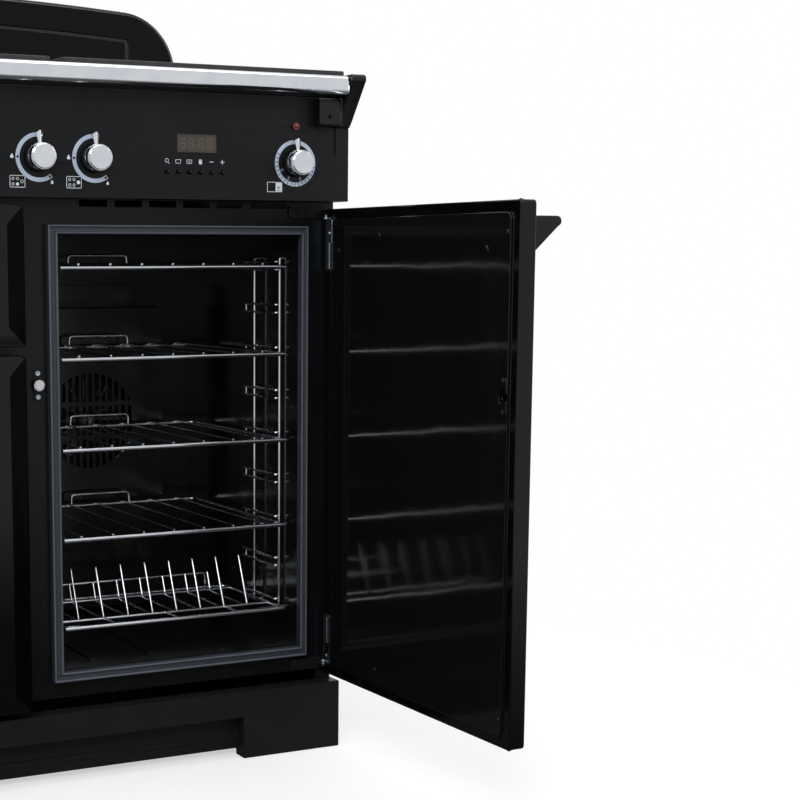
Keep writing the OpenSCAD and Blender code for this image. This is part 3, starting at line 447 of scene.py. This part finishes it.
def wire(bm, points, diameter, sides=10):
    """Sweeps a round wire along a path given in millimetres."""
    pts = [at(*p) for p in points]
    keep = [pts[0]]
    for p in pts[1:]:
        if (p - keep[-1]).length > 1e-5:
            keep.append(p)
    pts = keep
    n = len(pts)
    r = diameter * 0.0005
    rings = []
    side = None
    for i, p in enumerate(pts):
        d = (pts[min(i + 1, n - 1)] - pts[max(i - 1, 0)]).normalized()
        if side is None:
            side = d.orthogonal().normalized()
        side = (side - d * side.dot(d)).normalized()
        up = d.cross(side)
        ring = []
        for k in range(sides):
            a = 2 * math.pi * k / sides
            ring.append(bm.verts.new(p + (side * math.cos(a) + up * math.sin(a)) * r))
        rings.append(ring)
    for a, b in zip(rings, rings[1:]):
        for k in range(sides):
            bm.faces.new((a[k], a[(k + 1) % sides], b[(k + 1) % sides], b[k]))
    # blunt tips
    for ring, i, j in ((rings[0], 0, 1), (rings[-1], -1, -2)):
        tip = bm.verts.new(pts[i] + (pts[i] - pts[j]).normalized() * r * 0.5)
        for k in range(sides):
            bm.faces.new((ring[k], tip, ring[(k + 1) % sides]))


def dress_nodes():
    """Every CAD node that stays gets its finish."""
    for name, obj in NODES.items():
        mat = M["button" if name.startswith("timer_button") else SLOT_MATS[NODE_SLOT[name]]].mat
        obj.data.materials.clear()
        obj.data.materials.append(mat)


dress_nodes()


# ---------------------------------------------------------------- repeats by geometry nodes
def repeat_tree(name, turning):
    """Repeats its own mesh: along an offset, or turned about a point on an axis along Y."""
    tree = bpy.data.node_groups.new(name, "GeometryNodeTree")
    face = tree.interface
    face.new_socket("Geometry", in_out="INPUT", socket_type="NodeSocketGeometry")
    face.new_socket("Count", in_out="INPUT", socket_type="NodeSocketInt")
    face.new_socket("Step", in_out="INPUT", socket_type="NodeSocketVector")
    face.new_socket("Centre", in_out="INPUT", socket_type="NodeSocketVector")
    face.new_socket("Material", in_out="INPUT", socket_type="NodeSocketMaterial")
    face.new_socket("Geometry", in_out="OUTPUT", socket_type="NodeSocketGeometry")
    new = tree.nodes.new
    link = tree.links.new
    gin, gout = new("NodeGroupInput"), new("NodeGroupOutput")
    line = new("GeometryNodeMeshLine")
    line.mode = "OFFSET"
    spot = new("GeometryNodeInstanceOnPoints")
    real = new("GeometryNodeRealizeInstances")
    paint = new("GeometryNodeSetMaterial")
    link(gin.outputs["Count"], line.inputs["Count"])
    link(gin.outputs["Geometry"], spot.inputs["Instance"])
    link(line.outputs[0], spot.inputs["Points"])
    last = spot
    if turning:
        index = new("GeometryNodeInputIndex")
        scale = new("ShaderNodeVectorMath")
        scale.operation = "SCALE"
        turn = new("GeometryNodeRotateInstances")
        turn.inputs["Local Space"].default_value = False
        line.inputs["Offset"].default_value = (0, 0, 0)
        link(gin.outputs["Step"], scale.inputs[0])
        link(index.outputs[0], scale.inputs["Scale"])
        link(spot.outputs[0], turn.inputs[0])
        link(scale.outputs[0], turn.inputs["Rotation"])
        link(gin.outputs["Centre"], turn.inputs["Pivot Point"])
        last = turn
    else:
        link(gin.outputs["Step"], line.inputs["Offset"])
    link(last.outputs[0], real.inputs[0])
    link(real.outputs[0], paint.inputs["Geometry"])
    link(gin.outputs["Material"], paint.inputs["Material"])
    link(paint.outputs[0], gout.inputs[0])
    return tree


TREES = {False: repeat_tree("repeat_in_a_row", False), True: repeat_tree("repeat_in_a_ring", True)}


def repeat(obj, count, step, mat, centre=None):
    """Repeats a piece with the geometry node tree and bakes the result."""
    tree = TREES[centre is not None]
    mod = obj.modifiers.new("repeat", "NODES")
    mod.node_group = tree
    ids = {i.name: i.identifier for i in tree.interface.items_tree if i.in_out == "INPUT"}
    mod[ids["Count"]] = count
    mod[ids["Step"]] = step
    mod[ids["Centre"]] = centre or (0, 0, 0)
    mod[ids["Material"]] = M[mat].mat
    apply_modifiers(obj)


# ---------------------------------------------------------------- flat prints on the panel
PANEL_FACE = -41.0
# prints begin just in front of a face and stand out this far, dark marks on a pale print twice as far
INK_GAP = 0.005
INK = 0.08
TOP_INK = 0.16


def flat(bm, outline, y=PANEL_FACE, lift=INK, hole=None):
    """A thin printed shape from (x, z) points; with hole, a band between the two outlines."""
    def ring(pts, depth):
        return [bm.verts.new(at(x, depth, z)) for x, z in pts]

    front, back = ring(outline, y - lift), ring(outline, y - INK_GAP)
    n = len(outline)
    if hole is None:
        bm.faces.new(front)
        for i in range(n):
            bm.faces.new((front[i], front[(i + 1) % n], back[(i + 1) % n], back[i]))
        return
    f2, b2 = ring(hole, y - lift), ring(hole, y - INK_GAP)
    for i in range(n):
        j = (i + 1) % n
        bm.faces.new((front[i], front[j], f2[j], f2[i]))
        bm.faces.new((front[i], front[j], back[j], back[i]))
        bm.faces.new((f2[i], f2[j], b2[j], b2[i]))


def polar(cx, cz, r, degrees):
    """A point at an angle, anticlockwise from +X as seen from the front."""
    return cx + r * math.cos(math.radians(degrees)), cz + r * math.sin(math.radians(degrees))


def arc(cx, cz, r, a0, a1, n):
    return [polar(cx, cz, r, a0 + (a1 - a0) * i / n) for i in range(n + 1)]


def band(bm, cx, cz, r0, r1, a0, a1, n=48, **kw):
    """Part of a printed ring."""
    outer, inner = arc(cx, cz, r1, a0, a1, n), arc(cx, cz, r0, a0, a1, n)
    for i in range(n):
        flat(bm, [outer[i], outer[i + 1], inner[i + 1], inner[i]], **kw)


def disc(bm, cx, cz, r, n=20, **kw):
    flat(bm, arc(cx, cz, r, 0, 360, n)[:-1], **kw)


def box_points(x0, z0, x1, z1, r):
    """A rectangle with rounded corners."""
    turns = ((x1 - r, z0 + r, -90), (x1 - r, z1 - r, 0), (x0 + r, z1 - r, 90), (x0 + r, z0 + r, 180))
    return [p for cx, cz, a in turns for p in arc(cx, cz, r, a, a + 90, 4)]


def bar(bm, x0, z0, x1, z1, **kw):
    """A plain rectangle."""
    flat(bm, [(x0, z0), (x1, z0), (x1, z1), (x0, z1)], **kw)


def frame_print(bm, x0, z0, x1, z1, w, r, **kw):
    """An outline of width w round a rectangle."""
    inner = box_points(x0 + w, z0 + w, x1 - w, z1 - w, max(r - w, 0.3))
    flat(bm, box_points(x0, z0, x1, z1, r), hole=inner, **kw)


FLAME = (
    (-1.6, -2.6), (1.7, -2.6), (2.2, -0.6), (1.3, 0.4), (0.9, 2.0),
    (0, 3.0), (-0.7, 1.6), (-1.7, 0.5), (-2.1, -1.0),
)


def flame(bm, cx, cz, size):
    flat(bm, [(cx + x * size, cz + z * size) for x, z in FLAME])


KNOB_Z = 798.4
KNOBS = {
    "left_oven_knob": -370, "grill_knob": -297, "hob_knob_1": -203, "hob_knob_2": -130, "hob_knob_3": -57,
    "hob_knob_4": 16, "hob_knob_5": 89, "right_oven_knob": 370,
}
HOB_KNOBS = [x for name, x in KNOBS.items() if name.startswith("hob")]
OVEN_KNOBS = [x for name, x in KNOBS.items() if not name.startswith("hob")]
# the five burners in the map, as the hob knobs go from the left: place and radius
ICON_BURNERS = ((-5.6, 3.3, 1.6), (-5.6, -3.3, 1.6), (0, 3.3, 1.6), (0, -3.3, 1.6), (5.8, 0, 2.0))
# printed ring round a knob
RING_IN, RING_MID, RING_OUT = 24.7, 27.2, 29.8


def panel_prints():
    """Everything printed on the panel."""
    rings = bmesh.new()
    dots = bmesh.new()
    for x in HOB_KNOBS:
        band(rings, x + 1, KNOB_Z, RING_IN, RING_OUT, 96, 306, 56)
        for a in (180, 301):
            disc(dots, *polar(x + 1, KNOB_Z, RING_MID, a), 1.6, lift=TOP_INK)
    for x in OVEN_KNOBS:
        band(rings, x, KNOB_Z, RING_IN, RING_OUT, -264, 80, 72)
        # fan mark in the oven map
        cx, cz = x - 24.2, 766.6
        for turn in (0, 120, 240):
            flat(dots, [(cx, cz)] + arc(cx, cz, 2.3, turn, turn + 50, 3), lift=TOP_INK)
        bar(dots, cx - 2.4, cz - 3.6, cx + 2.4, cz - 3.1, lift=TOP_INK)
    finish_mesh(rings, "dial_rings", "white", "cabinet")
    finish_mesh(dots, "dial_dots", "dark", "cabinet")
    oven_ticks()
    marks = bmesh.new()
    for i, x in enumerate(HOB_KNOBS):
        hob_map(marks, x, i)
    oven_maps(marks)
    oven_bars()
    timer_icons(marks)
    finish_mesh(marks, "panel_marks", "bright", "cabinet")


def oven_ticks():
    """Temperature ticks on the oven dials."""
    first, step, count = 100, 11.5, 18
    for k, x in enumerate(OVEN_KNOBS):
        bm = bmesh.new()
        bar(bm, x - 0.5, KNOB_Z + 25.4, x + 0.5, KNOB_Z + 29.0, lift=TOP_INK)
        centre = at(x, 0, KNOB_Z)
        turn = Matrix.Rotation(math.radians(first), 3, "Y")
        bmesh.ops.rotate(bm, cent=centre, matrix=turn, verts=bm.verts)
        obj = finish_mesh(bm, "oven_dial_ticks_%d" % (k + 1), "dark", "cabinet")
        repeat(obj, count, (0, math.radians(step), 0), "dark", tuple(centre))


def hob_map(bm, x, lit):
    """Flames beside a hob knob, and the map of five burners with its own one filled."""
    flame(bm, x - 33.4, KNOB_Z + 0.9, 1.05)
    fx, fz = polar(x, KNOB_Z, 35.5, 300)
    flame(bm, fx, fz + 1.0, 0.85)
    cx, cz = x - 26.8, 768.8
    frame_print(bm, cx - 9.9, cz - 7.3, cx + 9.9, cz + 7.3, 0.7, 1.4)
    for j, (dx, dz, r) in enumerate(ICON_BURNERS):
        if j == lit:
            disc(bm, cx + dx, cz + dz, r + 0.35)
        else:
            band(bm, cx + dx, cz + dz, r - 0.4, r + 0.2, 0, 360, 16)


def oven_maps(bm):
    """Map of the cooker with one oven filled: the tall one, the left one or the grill."""
    for x, lo, hi in ((370, -6.2, 6.2), (-370, -6.2, 1.6), (-297, 2.4, 6.2)):
        cx, cz = x - 30, 767.5
        frame_print(bm, cx - 11, cz - 6.5, cx + 11, cz + 6.5, 0.7, 0.8)
        if x > 0:
            bar(bm, cx + 1.4, cz + lo, cx + 10.7, cz + hi)
        else:
            bar(bm, cx - 10.7, cz + lo, cx - 1.4, cz + hi)


def oven_bars():
    """Three grey bars inside each oven dial."""
    bm = bmesh.new()
    half = 1.5
    for x in OVEN_KNOBS:
        for a in (205, 243, 290):
            out = Vector(polar(0, 0, 1, a))
            side = Vector((-out.y, out.x))
            quad = [out * r + side * w for r, w in ((19.2, -half), (24.0, -half), (24.0, half), (19.2, half))]
            flat(bm, [(x + q.x, KNOB_Z + q.y) for q in quad])
    finish_mesh(bm, "oven_dial_bars", "grey", "cabinet")


TIMER_X = [187.2 + 15.5 * i for i in range(6)]
TIMER_Z = 797.5


def timer_icons(bm):
    """Bell, two pots, hand, minus and plus over the timer buttons."""
    z = TIMER_Z
    bell, pot, full_pot, hand, minus, plus = TIMER_X
    band(bm, bell, z + 0.8, 2.0, 2.6, 0, 360, 16)
    flat(bm, [(bell + 1.4, z - 0.6), (bell + 2.0, z - 0.2), (bell + 3.4, z - 3.2), (bell + 2.7, z - 3.4)])
    for x in (pot, full_pot):
        bar(bm, x - 4, z + 1.6, x + 4, z + 2.2)
        bar(bm, x - 3.4, z - 2.8, x + 3.4, z - 2.2)
        for s in (-1, 1):
            wall = ((3.4, 2.2), (4.0, 2.2), (3.4, -2.8), (2.8, -2.8))
            flat(bm, [(x + s * dx, z + dz) for dx, dz in wall])
    disc(bm, full_pot, z - 0.2, 0.8)
    flat(bm, box_points(hand - 2.0, z - 3.2, hand + 2.2, z + 0.4, 1.0))
    for k in range(4):
        x = hand - 2.0 + k * 1.15
        bar(bm, x, z + 0.2, x + 0.75, z + 3.0 - 0.4 * (k % 2))
    bar(bm, minus - 2.8, z - 0.4, minus + 2.8, z + 0.4)
    bar(bm, plus - 2.9, z - 0.4, plus + 2.9, z + 0.4)
    bar(bm, plus - 0.4, z - 2.9, plus + 0.4, z - 0.45)
    bar(bm, plus - 0.4, z + 0.45, plus + 0.4, z + 2.9)


GLASS_FACE = -40.6


def display():
    """Four unlit digits on the window and a thin frame round it."""
    bm = bmesh.new()
    w, h, t = 7.2, 13.5, 1.5
    z0 = 813.4
    mid = z0 + h / 2
    for x0 in (206.5, 217.5, 231.5, 242.5):
        # three level strokes, then two pairs of upright ones
        for low in (z0, mid - t / 2, z0 + h - t):
            bar(bm, x0 + t * 0.6, low, x0 + w - t * 0.6, low + t, y=GLASS_FACE)
        for low, high in ((z0 + 0.9, mid - 0.5), (mid + 0.5, z0 + h - 0.9)):
            for left in (x0, x0 + w - t):
                bar(bm, left, low, left + t, high, y=GLASS_FACE)
    for z in (817.2, 822.8):
        disc(bm, 228.3, z, 0.9, y=GLASS_FACE)
    finish_mesh(bm, "display_digits", "digit", "cabinet")
    bm = bmesh.new()
    frame_print(bm, 200.6, 808.1, 257.4, 832.4, 0.9, 1.6, lift=0.35)
    finish_mesh(bm, "display_frame", "black", "cabinet")


panel_prints()
display()


# ---------------------------------------------------------------- wire work
# inside of the tall oven: its walls, the ends of its shelves and the nine runner levels
OVEN_WALLS = (52.0, 398.0)
SHELF_X = (65.5, 384.5)
OVEN_MID = 225
LEVEL_PITCH = 58.8
LEVEL = [195.3 + LEVEL_PITCH * i for i in range(9)]
# middle of a shelf's side wire below the level of its runner
WIRE_REST = 1.6


def shelf(index, z):
    """Flat wire shelf with a raised guard at the back."""
    body = "oven_shelf_%d_body" % index
    x0, x1 = SHELF_X
    front, back = 18, 314
    bm = bmesh.new()
    wire(bm, [(x0 - 2, front, z), (x1 + 2, front, z)], 6, 14)
    loop = [(x0 + 34, front + 6.5, z), (x0, front + 8, z), (x0, back, z)]
    loop += [(x1, back, z), (x1, front + 8, z), (x1 - 34, front + 6.5, z)]
    wire(bm, bend(loop, 11), 5, 12)
    left, right, rear, top = OVEN_MID - 40, OVEN_MID + 52, back + 4, z + 16
    guard = [(left, back - 4, z), (left, rear, z), (left, rear, top)]
    guard += [(right, rear, top), (right, rear, z), (right, back - 4, z)]
    wire(bm, bend(guard, 6), 4, 10)
    finish_mesh(bm, "shelf_%d_frame" % index, "wire", body, ("oven_shelf_%d" % index,), 60)
    # seven rods lie on the frame, and their front ends stand up as bumps
    bm = bmesh.new()
    x = OVEN_MID - 5 - 3 * 44
    rod = [(x, front - 1.5, z + 3.8), (x, back - 4, z + 3.6), (x, back + 1, z + 1.6)]
    wire(bm, bend(rod, 4), 3, 8)
    obj = finish_mesh(bm, "shelf_%d_wires" % index, "wire", body, (), 60)
    repeat(obj, 7, (0.044, 0, 0), "wire")


for number, level in enumerate((8, 6, 4, 2)):
    shelf(number + 1, LEVEL[level] - WIRE_REST)


def plate_rack():
    """Rack that slides on the lowest runners and holds plates on edge."""
    z = LEVEL[0] - WIRE_REST
    x0, x1 = SHELF_X
    body = "plate_warming_rack_body"
    bm = bmesh.new()
    wire(bm, [(x0 - 2, 18, z), (x1 + 2, 18, z)], 6, 14)
    loop = [(x0 + 34, 24.5, z), (x0, 26, z), (x0, 204, z), (x1, 204, z), (x1, 26, z), (x1 - 34, 24.5, z)]
    wire(bm, bend(loop, 11), 5, 12)
    wire(bm, [(x0 + 2, 62, z), (x1 - 2, 62, z)], 4.5, 10)
    wire(bm, [(x0 + 2, 186, z), (x1 - 2, 186, z)], 4, 10)
    guard = [(x0 + 34, 204, z), (x0 + 34, 204, z + 22), (x1 - 34, 204, z + 22), (x1 - 34, 204, z)]
    wire(bm, bend(guard, 6), 4, 10)
    for x in (OVEN_MID - 90, OVEN_MID, OVEN_MID + 90):
        wire(bm, [(x, 18, z + 1), (x, 62, z + 1)], 3.4, 8)
    finish_mesh(bm, "plate_rack_frame", "wire", body, ("plate_warming_rack",), 60)
    # one wire makes a tall upright, the run under the plates and a short upright
    lean = math.tan(math.radians(24))
    x = OVEN_MID - 3.5 * 36
    upright = [(x, 62 + 66 * lean, z + 66), (x, 62, z - 2), (x, 186, z - 2), (x, 186 + 24 * lean, z + 24)]
    bm = bmesh.new()
    wire(bm, bend(upright, 5), 3.4, 10)
    obj = finish_mesh(bm, "plate_rack_uprights", "wire", body, (), 60)
    repeat(obj, 8, (0.036, 0, 0), "wire")


plate_rack()


def side_racks():
    """Two posts and nine hairpin runners on each wall of the tall oven."""
    low, high = LEVEL[0] - 6, LEVEL[8] + 10
    for side, wall, s in (("right", OVEN_WALLS[1], 1), ("left", OVEN_WALLS[0], -1)):
        foot = wall - s * 0.3
        bm = bmesh.new()
        for dx, y in ((4, 49), (8.4, 118)):
            x = wall - s * dx
            wire(bm, bend([(foot, y, low), (x, y, low), (x, y, high), (foot, y, high)], 4), 4.8, 12)
        node = ("right_oven_side_racks",) if s > 0 else ()
        finish_mesh(bm, "side_rack_posts_" + side, "wire", "cabinet", node, 60)
        z = LEVEL[0]
        x, back, root = wall - s * 11, wall - s * 6.5, wall - s * 3
        path = [(root, 49, z + 5.5), (x, 49, z + 5.5), (x, 148, z + 5.5), (back, 148, z + 5.5)]
        path += [(px, py, z - 5.5) for px, py, _ in reversed(path)]
        bm = bmesh.new()
        wire(bm, bend(path, 4.2), 3.6, 10)
        obj = finish_mesh(bm, "side_rack_runners_" + side, "wire", "cabinet", (), 60)
        repeat(obj, 9, (0, 0, LEVEL_PITCH * 0.001), "wire")


side_racks()

# ---------------------------------------------------------------- softened CAD pieces
# node, finish, width of the rounding in mm, steps in it
PLAIN_SOFT = (
    ("control_panel", "paint", 1.0, 3), ("front_frame", "frame", 0.4, 2), ("plinth", "plinth", 1.4, 3),
    ("hob_tray", "hob", 1.4, 3), ("handrail_bar", "chrome", 2.4, 4),
    ("handrail_brackets", "black", 1.6, 3), ("side_panels", "paint", 0.6, 2),
    ("right_door_outer_skin", "gloss", 1.4, 3), ("right_door_inner_liner", "liner", 1.0, 3),
    ("right_door_hinge_plates", "zinc", 0.35, 2), ("pan_support_left", "iron", 1.2, 3),
    ("pan_support_middle", "iron", 1.2, 3), ("pan_support_right", "iron", 1.2, 3),
    ("fan_baffle", "cavity", 0.3, 2),
)
for row in PLAIN_SOFT:
    soften(*row)


DOOR_FACE = -39


def shaded_border(c):
    """The sloping border that faces the middle stile lies in the dark, so it gets painted shade: a darker,
    less shiny copy of the enamel.
    """
    return 1 if -27 < c.x < -2 and c.y < DOOR_FACE else 0


for node in ("left_oven_door_skin", "grill_door_skin"):
    soften(node, ["gloss", "gloss_painted_shade"], 1.4, 3, pick=shaded_border)


UPSTAND_FACE = 526
FIELD_X, FIELD_Z = 366, 906.2
ARCH_TOP, ARCH_R = 1029, 5000
FAN_DISC = 364.7


def upstand_part(c):
    """Darker field inside the groove, under the arch."""
    arch = ARCH_TOP - ARCH_R + math.sqrt(ARCH_R ** 2 - c.x ** 2)
    return 1 if abs(c.x) < FIELD_X and FIELD_Z < c.z < arch and abs(c.y - UPSTAND_FACE) < 0.4 else 0


def fan_part(c):
    """Bright blades in front of the disc, which gets painted shade: a near-black finish."""
    return 1 if c.y > FAN_DISC else 0


soften("rear_upstand", ["upstand", "panel_in"], 2.2, 4, pick=upstand_part)
soften("convection_fan", ["steel", "dark"], 0.2, 1, pick=fan_part)


def knob_part(x):
    """Black skirt, chrome cap and pointer, and black in the cap's notches as a painted dark reflection."""
    skirt, notch_r, notch_back, notch_front = 9.6, 15.6, 11.4, 18.3

    def pick(c):
        r = math.hypot(c.x - x, c.z - KNOB_Z)
        height = PANEL_FACE - c.y
        on_pointer = abs(c.x - x) < 5 and c.z - KNOB_Z > 15.2
        # painted reflection: the notch faces of the chrome cap take the black plastic for the dark reflection
        # in them
        notch_painted_reflection = r < notch_r and notch_back < height < notch_front
        return 1 if (height < skirt and not on_pointer) or notch_painted_reflection else 0
    return pick


for node, x in KNOBS.items():
    soften(node, ["chrome", "black"], 0.5, 2, pick=knob_part(x))


BRACKET = 17.2


def handle_part(x0, x1, turned=False):
    """Chrome bar between black brackets; turned for the door that stands open."""
    def pick(c):
        p = (OPEN.inverted() @ (c * 0.001 + SHIFT) - SHIFT) * 1000 if turned else c
        return 0 if x0 + BRACKET <= abs(p.x) <= x1 - BRACKET else 1
    return pick


soften("right_door_handle", ["chrome", "satin_black"], 1.8, 3, pick=handle_part(36, 406, True))
for node in ("left_oven_door_handle", "grill_door_handle"):
    soften(node, ["chrome", "satin_black"], 1.8, 3, pick=handle_part(58, 386))


CATCHES = ((24.5, 517), (-24.5, 331))


def catch_part(c):
    """Bright roller and zinc screws on a black plate, and black hinge brackets with zinc pins."""
    for x, z in CATCHES:
        dx, dz = c.x - x, c.z - z
        if abs(dx) < 9 and abs(dz) < 24:
            if math.hypot(dx, dz) < 5.8 and c.y < -6.5:
                return 2
            return 0 if math.hypot(dx, abs(dz) - 15) < 3.3 and c.y < -1.25 else 1
    return 0 if math.hypot(abs(c.x) - PIN_X, c.y - PIN_Y) < 2.6 else 1


soften("frame_hinge_brackets_and_catches", ["zinc", "satin_black", "pearl"], 0.3, 2, pick=catch_part)


# share of the way from the outer outline to the inner one, and distance along Y
GASKET_PROFILE = (
    (0, 0), (0, -9.4), (0.05, -11.9), (0.15, -12.4), (0.23, -11.4), (0.28, -9.4), (0.48, -8.9),
    (0.71, -9.3), (0.75, -11.2), (0.84, -12.3), (0.95, -11.8), (1, -9.6), (1, 0),
)
MITRE_SLIT = 0.25


def corners(x0, z0, x1, z1):
    return [Vector((x0, z0)), Vector((x1, z0)), Vector((x1, z1)), Vector((x0, z1))]


def gasket(name, outer, inner, replaces=()):
    """Four lengths of ribbed rubber between two outlines, mitred with a hairline at the corners."""
    bm = bmesh.new()
    out, inn = corners(*outer), corners(*inner)
    n = len(GASKET_PROFILE)
    for k in range(4):
        j = (k + 1) % 4
        along = (out[j] - out[k]).normalized() * MITRE_SLIT
        rings = []
        for c, sign in ((k, 1), (j, -1)):
            points = [(out[c].lerp(inn[c], w) + along * sign, y) for w, y in GASKET_PROFILE]
            rings.append([bm.verts.new(at(p.x, y, p.y)) for p, y in points])
        for m in range(n):
            bm.faces.new((rings[0][m], rings[0][(m + 1) % n], rings[1][(m + 1) % n], rings[1][m]))
        bm.faces.new(rings[0])
        bm.faces.new(rings[1])
    finish_mesh(bm, name, "rubber", "cabinet", replaces, 50)


gasket("gasket_tall_oven", (37.5, 130.5, 406.5, 718), (50.5, 143.5, 396.5, 706.5), ("oven_door_gaskets",))
gasket("gasket_left_oven", (-410, 132.5, -40, 531), (-397, 145.5, -53, 518))


# ---------------------------------------------------------------- stage
def mix_shader(tree, factor, first, second):
    """The first shader where the factor is 0, the second where it is 1."""
    node = tree.nodes.new("ShaderNodeMixShader")
    tree.links.new(factor, node.inputs["Fac"])
    tree.links.new(first, node.inputs[1])
    tree.links.new(second, node.inputs[2])
    return node.outputs[0]


def grey_shader(tree, kind, level):
    """White light or backdrop of a given strength, or a grey diffuse surface."""
    node = tree.nodes.new(kind)
    if "Strength" in node.inputs:
        node.inputs["Color"].default_value = (1, 1, 1, 1)
        node.inputs["Strength"].default_value = level
    else:
        node.inputs["Color"].default_value = (level, level, level, 1)
    return node.outputs[0]


def floor_piece():
    """Pale floor: white to the camera with the object's shadow, and darker near the object in mirrors."""
    bm = bmesh.new()
    bmesh.ops.create_grid(bm, x_segments=1, y_segments=1, size=12)
    mesh = bpy.data.meshes.new("floor")
    bm.to_mesh(mesh)
    bm.free()
    floor = bpy.data.objects.new("floor", mesh)
    floor.location = (0, 0, -0.0005)
    scene.collection.objects.link(floor)
    mat = bpy.data.materials.new("floor")
    mat.use_nodes = True
    tree = mat.node_tree
    tree.nodes.clear()
    out = tree.nodes.new("ShaderNodeOutputMaterial")
    ray = tree.nodes.new("ShaderNodeLightPath")
    coord = tree.nodes.new("ShaderNodeTexCoord")
    far = tree.nodes.new("ShaderNodeVectorMath")
    far.operation = "LENGTH"
    tree.links.new(coord.outputs["Object"], far.inputs[0])
    away = Val(tree, far.outputs["Value"])
    pale = grey_shader(tree, "ShaderNodeBsdfDiffuse", 0.54)
    near, dim, glow, white = [grey_shader(tree, "ShaderNodeEmission", v) for v in (0.10, 0.80, 0.54, 1.0)]
    add = tree.nodes.new("ShaderNodeAddShader")
    tree.links.new(pale, add.inputs[0])
    tree.links.new(glow, add.inputs[1])
    # the ramps are distances from the object in metres
    seen = mix_shader(tree, away.ramp(0.75, 1.25).socket, add.outputs[0], white)
    mirrored = mix_shader(tree, away.ramp(1.0, 2.6).socket, near, dim)
    rest = mix_shader(tree, ray.outputs["Is Glossy Ray"], pale, mirrored)
    tree.links.new(mix_shader(tree, ray.outputs["Is Camera Ray"], rest, seen), out.inputs[0])
    mesh.materials.append(mat)


def studio_world():
    """White backdrop, for mirrors too, and a slightly dimmer room in front of the object."""
    world = bpy.data.worlds.new("studio")
    scene.world = world
    world.use_nodes = True
    tree = world.node_tree
    tree.nodes.clear()
    out = tree.nodes.new("ShaderNodeOutputWorld")
    ray = tree.nodes.new("ShaderNodeLightPath")
    coord = tree.nodes.new("ShaderNodeTexCoord")
    split = tree.nodes.new("ShaderNodeSeparateXYZ")
    tree.links.new(coord.outputs["Generated"], split.inputs[0])
    behind = Val(tree, split.outputs[1]).ramp(-0.15, 0.25)
    soft, white, room = [grey_shader(tree, "ShaderNodeBackground", v) for v in (0.55, 1.0, 0.80)]
    mirrored = mix_shader(tree, behind.socket, room, white)
    rest = mix_shader(tree, ray.outputs["Is Glossy Ray"], soft, mirrored)
    rest = mix_shader(tree, ray.outputs["Is Transmission Ray"], rest, white)
    tree.links.new(mix_shader(tree, ray.outputs["Is Camera Ray"], rest, white), out.inputs[0])


def area(name, loc, target, size, power):
    """A rectangular lamp that faces a point, in metres and watts."""
    data = bpy.data.lights.new(name, "AREA")
    data.shape = "RECTANGLE"
    data.size, data.size_y = size
    data.energy = power
    obj = bpy.data.objects.new(name, data)
    scene.collection.objects.link(obj)
    obj.location = loc
    obj.rotation_euler = (Vector(target) - Vector(loc)).to_track_quat("-Z", "Y").to_euler()


floor_piece()
studio_world()
area("key", (-1.6, -2.6, 2.4), (0, 0, 0.5), (1.6, 1.2), 42)
area("top", (0.2, -0.4, 3.0), (0, 0, 0.6), (2.4, 1.6), 36)
area("right", (2.6, -1.6, 1.6), (0.2, 0, 0.5), (1.0, 1.8), 22)
